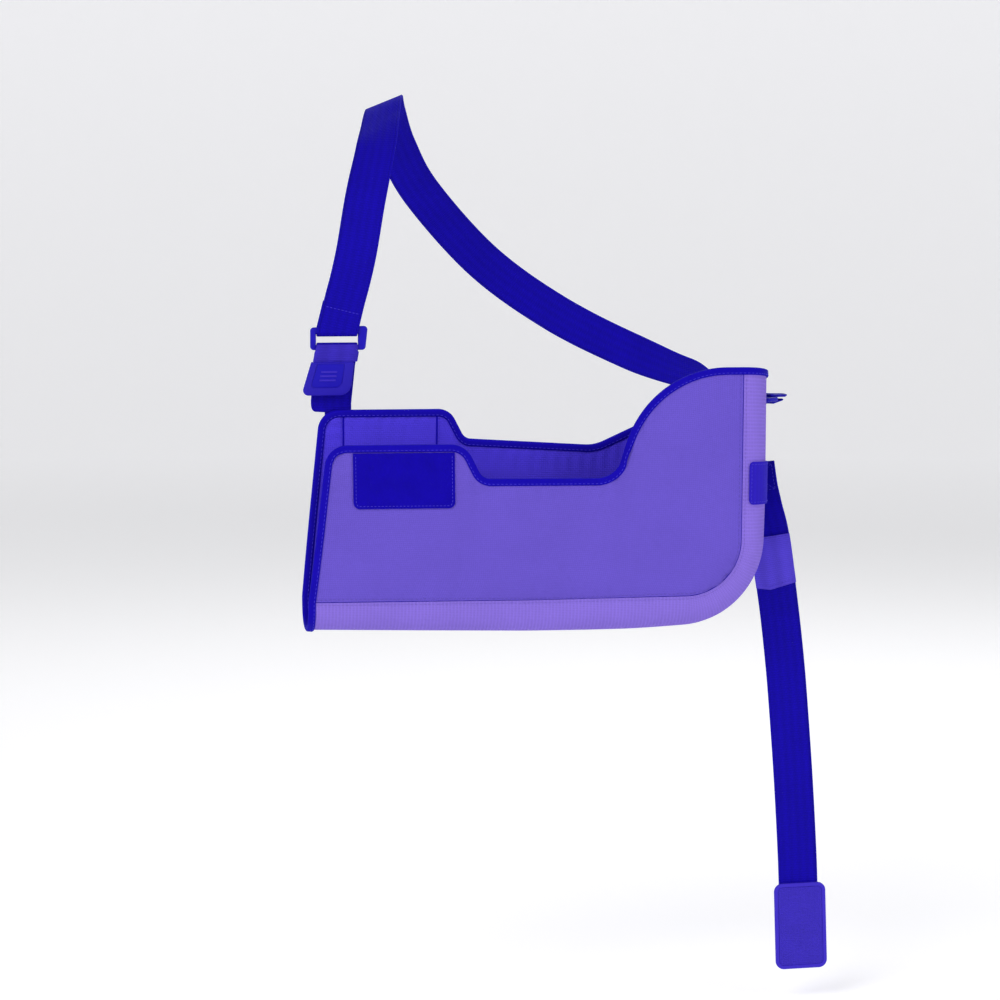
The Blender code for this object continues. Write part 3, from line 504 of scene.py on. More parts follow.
def padded_cloth(name, colour, pitch, sheen_stripes=0.0):
    """Matt padded cloth with a plain weave, heathered and a little uneven in tone, with painted shade in the
    weave's gaps and optional faint bands of painted sheen.
    """
    finish = Finish(name, 0.86, 0.12, colour)
    across, along = finish.cloth_place()
    weave = weave_height(finish, across, along, pitch, pitch)
    tone = finish.noise(16.0, 3.0)
    heather = finish.noise(420.0, 3.0, 0.65)
    fuzz = finish.noise(900.0)
    # Painted sheen: optional faint bands, lighter and darker in turn, that stand in for reflections
    if sheen_stripes:
        tone = tone + sheen_stripes * finish.sine(along * (2 * math.pi / SHEEN_STRIPE_PITCH))
    base = finish.tones(tone * 0.6 + heather * 0.4, colour, 0.84, 1.16)
    # Painted shade: the cloth is painted darker in the low gaps between the weave's threads
    finish.colour(finish.blend((1.0 - weave) * 0.4, base, shade(colour, 0.62)))
    finish.bump(weave + 0.35 * fuzz, 0.45 * MM, 0.8)
    return finish.material


def spacer_mesh(name, colour, pitch):
    """Knitted spacer mesh: rows of small open cells."""
    finish = Finish(name, 0.9, 0.1, colour)
    across, along = finish.cloth_place()
    a = finish.sine(across * (2 * math.pi / pitch))
    b = finish.sine(along * (math.pi / pitch))
    cells = finish.size(a * b) ** 0.7
    tone = finish.noise(16.0, 3.0)
    base = finish.tones(tone, colour, 0.88, 1.1)
    # Painted shade: the open cells are painted darker, as shade inside them
    finish.colour(finish.blend(cells * 0.45, base, shade(colour, 0.6)))
    finish.bump((1.0 - cells) + 0.2 * finish.noise(1400.0), 0.6 * MM, 0.8)
    return finish.material


def webbing(name, colour, pitch=WEB_PITCH, width=WEB_WIDTH):
    """Flat webbing: long narrow cells of a close weave with painted shade in their gaps, faint lengthwise
    bands of painted sheen and a tight selvedge whose groove is painted darker as shade.
    """
    finish = Finish(name, 0.7, 0.05, colour, 0.07)
    across, along = finish.cloth_place()
    weave = weave_height(finish, across, along, pitch, pitch * 1.8)
    off = finish.size(across)
    groove = (off > (width / 2 - SELVEDGE_INNER)) - (off > (width / 2 - SELVEDGE_OUTER))
    # Painted sheen: faint lengthwise bands, lighter and darker in turn
    sheen_stripes = finish.sine(across * (2 * math.pi / (width / 5)))
    tone = finish.noise(30.0, 3.0) + sheen_stripes * 0.22
    base = finish.tones(tone, colour, 0.82, 1.16)
    # Painted shade: darker in the low gaps of the weave
    woven = finish.blend((1.0 - weave) * 0.5, base, shade(colour, 0.5))
    # Painted shade: the selvedge groove is painted much darker
    finish.colour(finish.blend(groove * 0.45, woven, shade(colour, 0.35)))
    finish.bump(weave + 0.2 * finish.noise(1600.0) - groove * 1.2, 0.45 * MM, 0.8)
    return finish.material


def ribbed_tape(name, colour):
    """Binding tape with fine ribs across it, rubbed a little lighter along its fold."""
    finish = Finish(name, 0.78, 0.05, colour, 0.07)
    across, along = finish.cloth_place()
    ribs = finish.size(finish.sine(along * (math.pi / TAPE_RIB)))
    base = finish.tones(finish.noise(40.0, 3.0), colour, 0.86, 1.14)
    rubbed = finish.blend((across < 0.0) * finish.noise(260.0, 3.0) * 0.5, base, shade(colour, 1.5))
    # Painted shade: darker in the gaps between the ribs
    finish.colour(finish.blend((1.0 - ribs) * 0.5, rubbed, shade(colour, 0.6)))
    finish.bump(ribs + 0.3 * finish.noise(1500.0), 0.3 * MM, 0.7)
    return finish.material


def loop_pile(name, colour):
    """Short loop pile with a brushed lay."""
    finish = Finish(name, 0.95, 0.2, colour, 0.08)
    loops = finish.noise(1100.0, 4.0, 0.7)
    patches = finish.noise(70.0, 3.0)
    base = finish.tones(patches, colour, 0.78, 1.2)
    finish.colour(finish.blend(loops * 0.6, base, shade(colour, 0.45)))
    finish.bump(loops + 0.3 * patches, 1.2 * MM, 0.9)
    return finish.material


def hook_field(name, colour):
    """Hook tape: rows of tiny upright hooks on a woven ground."""
    finish = Finish(name, 0.6, 0.0, colour, 0.2)
    x, _, z = finish.split(finish.object_place())
    rows = finish.sine(x * (math.pi / HOOK_PITCH)) * finish.sine(z * (math.pi / HOOK_PITCH))
    hooks = finish.size(rows) ** 2.0
    base = finish.tones(finish.noise(60.0, 3.0), colour, 0.86, 1.08)
    # Painted highlight: the hook tops are painted lighter than the ground between them
    finish.colour(finish.blend(hooks * 0.5, base, shade(colour, 1.45)))
    finish.bump(hooks + 0.2 * finish.noise(1500.0), 0.8 * MM, 0.9)
    return finish.material


def moulded_plastic(name, colour, roughness=0.46):
    """Satin moulded plastic with a fine spark-eroded grain and faint handling marks."""
    finish = Finish(name, roughness, gloss=0.16)
    grain = finish.noise(1500.0)
    wear = finish.noise(45.0, 4.0)
    marks = finish.noise(320.0, 4.0, 0.7)
    finish.colour(finish.tones(wear * 0.7 + marks * 0.3, colour, 0.86, 1.12))
    finish.put(finish.surface.inputs["Roughness"], wear * 0.16 + (roughness - 0.08))
    finish.bump(grain + 0.4 * marks, 0.08 * MM, 0.5)
    return finish.material


def thread(name, colour):
    """Sewing thread with a little sheen."""
    finish = Finish(name, 0.6, 0.1, colour, 0.2)
    finish.colour(finish.tones(finish.noise(1800.0), colour, 0.85, 1.15))
    return finish.material


# Lines and tables


def at_share(rows, column, share):
    """A column of a table read at a share of the way, on a smooth curve through its rows."""
    places = [row[0] for row in rows]
    values = [getattr(row, column) for row in rows]
    last = len(rows) - 1
    here = max(i for i in range(last) if places[i] <= max(share, places[0]))
    span = places[here + 1] - places[here]

    def slope(i):
        low, high = max(i - 1, 0), min(i + 1, last)
        return (values[high] - values[low]) / (places[high] - places[low]) * span

    t = (share - places[here]) / span
    near = (1 + 2 * t) * (1 - t) ** 2 * values[here] + t * (1 - t) ** 2 * slope(here)
    far = t * t * (3 - 2 * t) * values[here + 1] + t * t * (t - 1) * slope(here + 1)
    return near + far


def rounded_line(corners, closed=False, step=math.radians(12)):
    """The line through corners of (point, radius), with an arc at each corner that has a radius."""
    points = []
    for i, (corner, radius) in enumerate(corners):
        if radius == 0 or (not closed and i in (0, len(corners) - 1)):
            points.append(Vector(corner))
            continue
        corner = Vector(corner)
        before = (Vector(corners[i - 1][0]) - corner).normalized()
        after = (Vector(corners[(i + 1) % len(corners)][0]) - corner).normalized()
        half = before.angle(after) / 2
        centre = corner + (before + after).normalized() * radius / math.sin(half)
        first = corner + before * radius / math.tan(half) - centre
        last = corner + after * radius / math.tan(half) - centre
        sweep = math.pi - 2 * half
        steps = max(2, math.ceil(sweep / step))
        for k in range(steps + 1):
            turn = sweep * k / steps
            arm = first * math.sin(sweep - turn) + last * math.sin(turn)
            points.append(centre + arm / math.sin(sweep))
    return points


def lengths_along(points):
    """How far along a line each of its points is."""
    return list(accumulate(((b - a).length for a, b in zip(points, points[1:])), initial=0.0))


def way_at(points, i):
    """The way that a line runs at one of its points."""
    return points[min(i + 1, len(points) - 1)] - points[max(i - 1, 0)]


def places_at(reached, wanted):
    """For each wanted length, in rising order, the point before it and the share of the way to the next."""
    here = 0
    for length in wanted:
        while here < len(reached) - 2 and reached[here + 1] < length:
            here += 1
        yield here, (length - reached[here]) / max(1e-9, reached[here + 1] - reached[here])


def spread(line, count, bend=0.0):
    """count + 1 points along a line, closer together where it turns."""
    reached = [0.0]
    for i in range(1, len(line)):
        run = line[i] - line[i - 1]
        turn = run.angle(line[i - 1] - line[i - 2]) if i > 1 else 0.0
        reached.append(reached[-1] + run.length + bend * turn)
    wanted = [reached[-1] * k / count for k in range(count + 1)]
    return [line[i].lerp(line[i + 1], part) for i, part in places_at(reached, wanted)]


def through(points, count):
    """count + 1 points on a smooth curve through the points given."""
    last = len(points) - 1
    slopes = []
    for i in range(last + 1):
        run = way_at(points, i)
        slopes.append(run / 2 if 0 < i < last else run)
    line = []
    for i in range(last):
        near = points[i] + slopes[i] / 3
        far = points[i + 1] - slopes[i + 1] / 3
        line += interpolate_bezier(points[i], near, far, points[i + 1], 33)[:-1]
    return spread(line + [points[last]], count)


def off_line(point, start, end):
    """How far a point is from a segment, and how far along the segment it is, as a share."""
    run = end - start
    part = min(1.0, max(0.0, (point - start).dot(run) / run.length_squared))
    return (start + run * part - point).length, part


def nearest_face(point, centres, faces):
    """The way the webbing looks at a point of its route, between the two stations beside it."""
    offs = [off_line(point, a, b) for a, b in zip(centres, centres[1:])]
    best = min(range(len(offs)), key=lambda i: offs[i][0])
    part = offs[best][1]
    return faces[best].lerp(faces[best + 1], part * part * (3 - 2 * part)).normalized()


def axes_along(*ways):
    """The turn that carries X, Y and Z to three ways."""
    return Matrix(ways).transposed().to_4x4()


# Pieces from grids, sections and plates


def added(name, data):
    """A new object in the scene."""
    made = bpy.data.objects.new(name, data)
    bpy.context.scene.collection.objects.link(made)
    return made


def smooth_mesh(name, bm, material):
    mesh = bpy.data.meshes.new(name)
    bm.to_mesh(mesh)
    bm.free()
    mesh.shade_smooth()
    mesh.materials.append(material)
    return mesh


def finished(name, bm, material, slot, *nodes):
    """A shown piece from a bmesh: its material on, riding on the body in place of its nodes."""
    made = added(name, smooth_mesh(name, bm, material))
    made.data.set_sharp_from_angle(angle=math.radians(50))
    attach(made, "root")
    if nodes:
        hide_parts(*nodes)
    return made


def lay_grid(rows, lengths):
    """A bmesh grid laid on rows of points, with each point's two lengths in metres as its UV map."""
    bm = bmesh.new()
    cloth = bm.loops.layers.uv.new("cloth")
    wide = len(rows[0])
    made = bmesh.ops.create_grid(bm, x_segments=wide - 1, y_segments=len(rows) - 1, size=1, calc_uvs=True)
    for k, vert in enumerate(made["verts"]):
        vert.co = rows[k // wide][k % wide]
        vert.index = k
    for face in bm.faces:
        for loop in face.loops:
            k = loop.vert.index
            loop[cloth].uv = lengths[k // wide][k % wide]
    return bm


def measured(rows):
    """Each point's length along its row and down the middle column, in metres."""
    down = lengths_along([row[len(row) // 2] for row in rows])
    return [[(along, down[i]) for along in lengths_along(row)] for i, row in enumerate(rows)]


def cloth_piece(name, rows, material, slot, thick, *nodes):
    """A cloth wall on rows of points, half its thickness to each side, with rounded edges."""
    made = finished(name, lay_grid(rows, measured(rows)), material, slot, *nodes)
    wall = made.modifiers.new("wall", "SOLIDIFY")
    wall.thickness = thick
    wall.offset = 0
    wall.use_even_offset = True
    edge = made.modifiers.new("edge", "BEVEL")
    edge.width = thick * 0.3
    edge.segments = 2
    edge.limit_method = "ANGLE"
    edge.angle_limit = math.radians(60)
    return made


def swept_piece(name, rings, lengths, material, slot, *nodes, closed=False):
    """A solid through rings of points, in a loop or with an end face at each end."""
    rows = [list(ring) + [ring[0]] for ring in rings]
    places = [list(row) + [row[0]] for row in lengths]
    if closed:
        rows.append(rows[0])
        places.append([(u, v + (places[1][0][1] - places[0][0][1])) for u, v in places[-1]])
    bm = lay_grid(rows, places)
    bmesh.ops.remove_doubles(bm, verts=bm.verts, dist=1e-7)
    if not closed:
        ends = [edge for edge in bm.edges if edge.is_boundary]
        bmesh.ops.holes_fill(bm, edges=ends, sides=0)
    bmesh.ops.recalc_face_normals(bm, faces=bm.faces)
    return finished(name, bm, material, slot, *nodes)


def ribbon_profile(width, thick, flats=12, arc=4):
    """A webbing's section as (across, through) points, with round edges."""
    round_off = thick / 2
    half = width / 2 - round_off
    profile = []
    for side in (1, -1):
        for k in range(flats + 1):
            profile.append((side * (half - 2 * half * k / flats), side * round_off))
        for k in range(1, arc):
            angle = math.pi * k / arc
            profile.append((side * (-half - math.sin(angle) * round_off), side * math.cos(angle) * round_off))
    return profile


def ribbon_frames(centres, faces):
    """At each station of a route: its centre, the way along it, across it and out of its face."""
    frames = []
    for i, (centre, face) in enumerate(zip(centres, faces)):
        along = way_at(centres, i).normalized()
        across = along.cross(face).normalized()
        frames.append((centre, along, across, across.cross(along)))
    return frames


def ribbon_rings(centres, faces, profile, shape=None):
    """Rings of a webbing's section along a route, and their lengths. shape(station, across) moves a point."""
    rings = []
    for i, (centre, along, across, out) in enumerate(ribbon_frames(centres, faces)):
        ring = []
        for a, b in profile:
            side, forward = shape(i, a) if shape else (a, 0.0)
            ring.append(centre + across * side + out * b + along * forward)
        rings.append(ring)
    return rings, [[(a, reached) for a, _ in profile] for reached in lengths_along(centres)]


def ribbon(name, centres, faces, width, thick, material, slot, *nodes, shape=None):
    rings, lengths = ribbon_rings(centres, faces, ribbon_profile(width, thick), shape)
    return swept_piece(name, rings, lengths, material, slot, *nodes)


def round_edges(bm, edges, round_off):
    bmesh.ops.bevel(bm, geom=edges, offset=round_off, segments=3, affect="EDGES", profile=0.5, material=-1)


def plate_bmesh(outline, thick, round_off):
    """A flat plate in its own plane with rounded edges, as a bmesh that faces -Y."""
    bm = bmesh.new()
    face = bm.faces.new([bm.verts.new((x, 0, z)) for x, z in outline])
    grown = bmesh.ops.extrude_face_region(bm, geom=[face])
    lifted = [item for item in grown["geom"] if isinstance(item, bmesh.types.BMVert)]
    bmesh.ops.translate(bm, vec=(0, thick, 0), verts=lifted)
    bmesh.ops.translate(bm, vec=(0, -thick / 2, 0), verts=bm.verts)
    bmesh.ops.recalc_face_normals(bm, faces=bm.faces)
    round_edges(bm, [edge for edge in bm.edges if edge.calc_face_angle(0) > math.radians(60)], round_off)
    return bm


def add_bar(bm, low, high, round_off):
    """A rounded bar between two corners, added to a bmesh."""
    low, high = Vector(low), Vector(high)
    place = Matrix.Translation((low + high) / 2) @ Matrix.Diagonal((*(high - low), 1))
    made = bmesh.ops.create_cube(bm, size=1, matrix=place)
    round_edges(bm, list({edge for vert in made["verts"] for edge in vert.link_edges}), round_off)


def sink_field(bm, field):
    """Sinks a field in a plate's front face, so that a rim stays round it."""
    front = max(bm.faces, key=lambda face: -face.normal.y * face.calc_area())
    level = front.verts[0].co.y
    rim = list(front.edges)
    bmesh.ops.delete(bm, geom=[front], context="FACES_ONLY")
    line = [bm.verts.new((x, level, z)) for x, z in field]
    rim += [bm.edges.new((line[i - 1], line[i])) for i in range(len(line))]
    bmesh.ops.triangle_fill(bm, edges=rim, use_beauty=True, use_dissolve=False, normal=(0, -1, 0))
    floor = bm.faces.new(line)
    floor.normal_update()
    if floor.normal.y > 0:
        floor.normal_flip()
    bmesh.ops.inset_region(bm, faces=[floor], thickness=FIELD_SLOPE, depth=-FIELD_DEEP, use_even_offset=True)
    bmesh.ops.recalc_face_normals(bm, faces=bm.faces)


def tab_with_inlay(field, outline, thick, place, piece, inlay):
    """A moulded tab with a sunk field, and a thin inlay on its floor. field(inset) is the field's outline."""
    name, material, node = piece
    bm = plate_bmesh(outline, thick, thick * TAB_EDGE_SHARE)
    sink_field(bm, field(0.0))
    bmesh.ops.transform(bm, matrix=place, verts=bm.verts)
    finished(name, bm, material, "tab_plastic", node)
    bm = plate_bmesh(field(INLAY_CLEAR), INLAY_THICK, INLAY_EDGE)
    bmesh.ops.translate(bm, vec=(0, FIELD_DEEP - thick / 2 - INLAY_THICK / 2, 0), verts=bm.verts)
    bmesh.ops.transform(bm, matrix=place, verts=bm.verts)
    finished(inlay[0], bm, *inlay[1:])


def sew(name, stitches, material, slot, length=STITCH_LENGTH, thick=THREAD_THICK):
    """Stitches as small rounded beads of thread. Each is (point, way it runs, way it faces)."""
    bead = bmesh.new()
    bmesh.ops.create_uvsphere(bead, u_segments=6, v_segments=5, radius=0.5)
    pattern = bpy.data.meshes.new("bead")
    bead.to_mesh(pattern)
    bead.free()
    bm = bmesh.new()
    for point, along, out in stitches:
        along = along.normalized()
        across = out.cross(along).normalized()
        up = along.cross(across)
        place = Matrix.Translation(point) @ axes_along(across * thick, up * thick, along * length)
        first = len(bm.verts)
        bm.from_mesh(pattern)
        bm.verts.ensure_lookup_table()
        bmesh.ops.transform(bm, matrix=place, verts=bm.verts[first:])
    bpy.data.meshes.remove(pattern)
    bmesh.ops.recalc_face_normals(bm, faces=bm.faces)
    return finished(name, bm, material, slot)


def stitch_line(points, outs, pitch=SEAM_PITCH):
    """Stitches along a line of points, each facing the way given there."""
    reached = lengths_along(points)
    count = max(1, round(reached[-1] / pitch))
    made = []
    for i, part in places_at(reached, [reached[-1] * (k + 0.5) / count for k in range(count)]):
        point = points[i].lerp(points[i + 1], part)
        made.append((point, points[i + 1] - points[i], outs[i].lerp(outs[i + 1], part)))
    return made


def ribbon_stitches(frames, lift, runs, pitch=STITCH_PITCH):
    """Stitches on a ribbon's face. Each run is a list of (station, across) places that the row passes."""
    made = []
    for run in runs:
        points = []
        outs = []
        for station, side in run:
            centre, _, across, out = frames[station]
            points.append(centre + across * side + out * lift)
            outs.append(out if lift > 0 else -out)
        made += stitch_line(points, outs, pitch)
    return made


def sew_ribbon(name, route, faces, lift, runs, material, slot, length=STITCH_LENGTH, pitch=STITCH_PITCH):
    """The stitches on one face of a ribbon, as one piece."""
    sew(name, ribbon_stitches(ribbon_frames(route, faces), lift, runs, pitch), material, slot, length)


def across_runs(stations, half):
    """Straight rows of stitches across a ribbon, one at each station."""
    return [[(i, -half), (i, half)] for i in stations]


def box_runs(first, last, half):
    """The runs of a sewn box with a cross in it, between two stations of a ribbon."""
    steps = list(range(first, last + 1))
    rows = [[(i, side) for i in steps] for side in (-half, half)]
    rows += [[(i, -half), (i, 0.0), (i, half)] for i in (first, last)]
    for way in (1, -1):
        rows.append([(i, way * half * (2 * (i - first) / (last - first) - 1)) for i in steps])
    return rows


def edge_stitches(edge, inner, facing):
    """A row of stitches beside a sewn edge: edge and inner are the cloth's points on it and next to it."""
    points = []
    outs = []
    for i, place in enumerate(edge):
        into = (inner[i] - place).normalized()
        out = into.cross(way_at(edge, i)).normalized()
        if out.dot(facing) < 0:
            out = -out
        points.append(place + into * STITCH_INSET + out * (WALL / 2 + THREAD_LIFT))
        outs.append(out)
    return stitch_line(points, outs)


def round_cord(name, centres, side, radius, material, slot):
    """A thin round cord along a line. side is a way that the line never runs."""
    turns = [2 * math.pi * k / 8 for k in range(8)]
    profile = [(math.cos(turn) * radius, math.sin(turn) * radius) for turn in turns]
    rings, _ = ribbon_rings(centres, [side] * len(centres), profile)
    lengths = [[(radius * turn, i * MM) for turn in turns] for i in range(len(centres))]
    return swept_piece(name, rings, lengths, material, slot)


# The pouch's surfaces


def seam_line():
    """The seam from the hand end along the bottom, round the elbow's corner and up, as (x, z)."""
    elbow_x = HAND_X + POUCH_LENGTH
    corner = (elbow_x - SEAM_LEAN, SEAM_Z + SEAM_RISE)
    return rounded_line(
        (
            ((HAND_X, SEAM_Z), 0),
            ((HAND_X + POUCH_LENGTH * 0.5, SEAM_Z), POUCH_LENGTH * 2),
            (corner, CORNER_RADIUS),
            ((elbow_x, SEAM_Z + ELBOW_HEIGHT), 0),
        ),
        step=math.radians(1),
    )


def split_seam():
    """The seam in two runs that meet in the middle of the corner."""
    line = seam_line()
    middle = max(range(1, len(line) - 1), key=lambda i: line[i].x - line[i].y)
    bend = POUCH_LENGTH * BEND_SHARE
    return spread(line[: middle + 1], ALONG, bend), spread(line[middle:], UP, bend)


BOTTOM, SIDE = split_seam()
STATIONS = BOTTOM + SIDE[1:]
SEAM_REACHED = lengths_along(STATIONS)
SHARES = [value / SEAM_REACHED[-1] for value in SEAM_REACHED]


def rear_fall(z):
    """How much lower the rear seam ends: nothing below, the whole drop at the elbow's rim."""
    share = (z - SEAM_Z) / ELBOW_HEIGHT
    return ELBOW_REAR_DROP * max(0.0, share) ** 2


def gusset_point(station, angle, lift=0.0):
    """A point of the gusset's middle surface: angle 0 at the front seam, pi at the rear one."""
    low = min(int(station), len(STATIONS) - 2)
    part = station - low
    place = STATIONS[low].lerp(STATIONS[low + 1], part)
    share = SHARES[low] + (SHARES[low + 1] - SHARES[low]) * part
    before = STATIONS[max(low - 1, 0) if part < 0.5 else low]
    after = STATIONS[min(low + 2, len(STATIONS) - 1) if part > 0.5 else low + 1]
    along = (after - before).normalized()
    outward = Vector((along.y, -along.x))
    power = 2 / GUSSET_SQUARENESS
    half_depth = HALF_DEPTH * at_share(SECTIONS, "half_depth", share)
    bulge = BULGE * at_share(SECTIONS, "bulge", share)
    cosine, sine = math.cos(angle), max(0.0, math.sin(angle))
    deep = -math.copysign(abs(cosine) ** power, cosine)
    flat = place + outward * (SEAM_GAP / 2 + bulge * sine**power)
    fall = rear_fall(place.y) * (1 + deep) / 2
    point = Vector((flat.x, POUCH_Y + half_depth * deep, flat.y - fall))
    if lift:
        normal = Vector((outward.x * sine / bulge, deep / half_depth, outward.y * sine / bulge)).normalized()
        point += normal * lift
    return point


def gusset_side(station, angle, lift):
    """A seat on the gusset, and the level way across it there."""
    beside = gusset_point(station, angle - 0.1, lift) - gusset_point(station, angle + 0.1, lift)
    return gusset_point(station, angle, lift), Vector((beside.x, beside.y, 0)).normalized()


def station_at_height(z):
    """Where along the seam the elbow's side reaches a height."""
    for i in range(ALONG, len(STATIONS) - 1):
        if STATIONS[i + 1].y >= z:
            return i + (z - STATIONS[i].y) / (STATIONS[i + 1].y - STATIONS[i].y)
    return len(STATIONS) - 1


def gusset_grid():
    angles = [math.pi * k / ROUND for k in range(ROUND + 1)]
    return [[gusset_point(i, angle) for angle in angles] for i in range(len(STATIONS))]


def top_line(corners, height, dip, elbow):
    """A panel's hand edge from the seam up and its top edge to the elbow, as two runs of points."""
    line = [((HAND_X, SEAM_Z), 0)]
    for row in corners:
        rise = row.hand * height + row.dip * dip + row.elbow * elbow
        line.append(((HAND_X + POUCH_LENGTH * row.along, SEAM_Z + rise), POUCH_LENGTH * row.radius))
    points = rounded_line(line, step=math.radians(3))
    offs = [point - points[0] for point in points]
    turn = next(i for i in range(1, len(offs)) if offs[i].x > offs[i].y * TOP_TURN)
    bend = POUCH_LENGTH * BEND_SHARE
    return spread(points[: turn + 1], UP, bend), spread(points[turn:], ALONG, bend)


def soft_folds(flat, folds):
    """How far the cloth stands out at a flat place, from the long soft folds."""
    high = 0.0
    for fold in folds:
        start = Vector((HAND_X + POUCH_LENGTH * fold.x, SEAM_Z + ELBOW_HEIGHT * fold.z))
        end = Vector((HAND_X + POUCH_LENGTH * fold.far_x, SEAM_Z + ELBOW_HEIGHT * fold.far_z))
        off, part = off_line(flat, start, end)
        fade = math.sin(math.pi * (0.12 + 0.76 * part))
        high += fold.deep * MM * fade * math.exp(-((off / (fold.wide * MM)) ** 2))
    return high


def pucker(far, along):
    """Small gathers beside a row of stitches: nothing on it, most a few millimetres away."""
    near = max(0.0, far) / PUCKER_REACH
    wave = math.sin(2 * math.pi * along / PUCKER_PITCH + 1.9 * math.sin(along * 37.0))
    return PUCKER_DEEP * near * near * math.exp(2 - 2 * near) * wave


def panel_grid(corners, height, dip, elbow, lip, side, folds):
    """A panel's middle surface between its seam, hand edge and top edge. side is -1 in front and 1 behind."""
    edge, top = top_line(corners, height, dip, elbow)
    seam_depths = [HALF_DEPTH * at_share(SECTIONS, "half_depth", share) for share in SHARES]
    lip_depths = [HALF_DEPTH * at_share(LIPS, lip, i / ALONG) for i in range(ALONG + 1)]

    def deep(flat, half_depth):
        return Vector((flat.x, POUCH_Y + side * half_depth, flat.y))

    def fallen(flat):
        return Vector((flat.x, flat.y - rear_fall(flat.y))) if side > 0 else flat

    inward = []
    for i in range(len(STATIONS)):
        along = way_at(STATIONS, i).normalized()
        inward.append(Vector((-along.y, along.x)) * SEAM_GAP / 2)
    seam = [deep(fallen(place + inward[i]), seam_depths[i]) for i, place in enumerate(STATIONS)]
    bottom, right = seam[: ALONG + 1], seam[ALONG:]
    upper = [deep(flat, depth) for flat, depth in zip(top, lip_depths)]
    hand_depths = [seam_depths[0] + (lip_depths[0] - seam_depths[0]) * j / UP for j in range(UP + 1)]
    left = [deep(flat, depth) for flat, depth in zip(edge, hand_depths)]
    left[0], upper[0], upper[-1] = bottom[0], left[-1], right[-1]
    grid = []
    for i in range(ALONG + 1):
        u = i / ALONG
        row = []
        for j in range(UP + 1):
            v = j / UP
            ruled = bottom[i].lerp(upper[i], v) + left[j].lerp(right[j], u)
            corner = bottom[0].lerp(bottom[-1], u).lerp(upper[0].lerp(upper[-1], u), v)
            point = ruled - corner
            low = v**BELLY_LOW
            along = (1 - u**4) * (BELLY_AT_HAND + (1 - BELLY_AT_HAND) * u)
            rise = BELLY * along * (4 * low * (1 - low)) ** 2
            low_off = (point - bottom[i]).length
            high_off = (point - upper[i]).length - BINDING_LEG
            hand_off = (point - left[j]).length - BINDING_LEG
            side_off = (point - right[j]).length
            nearest = max(0.0, min(low_off, high_off, hand_off, side_off))
            quiet = 1 - math.exp(-((nearest / FOLD_QUIET) ** 2))
            rise += soft_folds(Vector((point.x, point.z)), folds) * quiet
            ends = min(1.0, max(0.0, min(hand_off, side_off)) / PUCKER_REACH)
            sides = min(1.0, max(0.0, min(low_off, high_off)) / PUCKER_REACH)
            rise += (pucker(low_off, point.x) + pucker(high_off, point.x + 0.5)) * ends
            rise += (pucker(hand_off, point.z) + pucker(side_off, point.z + 0.3)) * sides
            point.y += side * rise
            row.append(point)
        grid.append(row)
    return grid


def surface_of(grid):
    """The tree that finds where a line meets a grid's surface."""
    wide = len(grid[0])
    firsts = [i * wide + j for i in range(len(grid) - 1) for j in range(wide - 1)]
    faces = [(a, a + 1, a + wide + 1, a + wide) for a in firsts]
    return BVHTree.FromPolygons([point for row in grid for point in row], faces)


def surface_y(tree, x, z):
    return tree.ray_cast(Vector((x, POUCH_Y * 4, z)), BACKWARD)[0].y


def laid_on(tree, line, high):
    """A flat line laid in front of a grid's surface, that high above it."""
    return [Vector((flat.x, surface_y(tree, flat.x, flat.y) - high, flat.y)) for flat in line]


def rim_stations(front, back, gusset):
    """Every point of the pouch's free edge in order, each with a neighbour further into the cloth."""
    rim = [(gusset[0][k], gusset[1][k]) for k in range(ROUND + 1)]
    rim += [(back[0][j], back[1][j]) for j in range(1, UP)]
    rim += [(back[i][UP], back[max(i, 1)][UP - 1]) for i in range(ALONG)]
    rim += [(gusset[-1][k], gusset[-2][k]) for k in range(ROUND, -1, -1)]
    rim += [(front[i][UP], front[max(i, 1)][UP - 1]) for i in range(ALONG - 1, -1, -1)]
    rim += [(front[0][j], front[1][j]) for j in range(UP - 1, 0, -1)]
    return rim


def rim_frames(rim):
    """The edge point of each station with the ways into the cloth and out of it, smoothed along the rim."""
    count = len(rim)
    facets = []
    for i, (edge, neighbour) in enumerate(rim):
        next_edge, next_neighbour = rim[(i + 1) % count]
        facets.append((next_edge - neighbour).cross(edge - next_neighbour).normalized())
    frames = []
    for i, (edge, neighbour) in enumerate(rim):
        along = (rim[(i + 1) % count][0] - rim[i - 1][0]).normalized()
        out = Vector((0, 0, 0))
        for near in range(-3, 3):
            out += facets[(i + near) % count]
        out.normalize()
        into = out.cross(along).normalized()
        if into.dot(neighbour - edge) < 0:
            into, out = -into, -out
        frames.append((edge, into, out))
    return frames


def seam_centres(side):
    """The middle of the seam between a panel and the gusset, from the hand end to the elbow's rim."""
    centres = []
    for place, share in zip(STATIONS, SHARES):
        fall = rear_fall(place.y) if side > 0 else 0.0
        deep = HALF_DEPTH * at_share(SECTIONS, "half_depth", share)
        centres.append(Vector((place.x, POUCH_Y + side * deep, place.y - fall)))
    return centres


# Pieces of the pouch


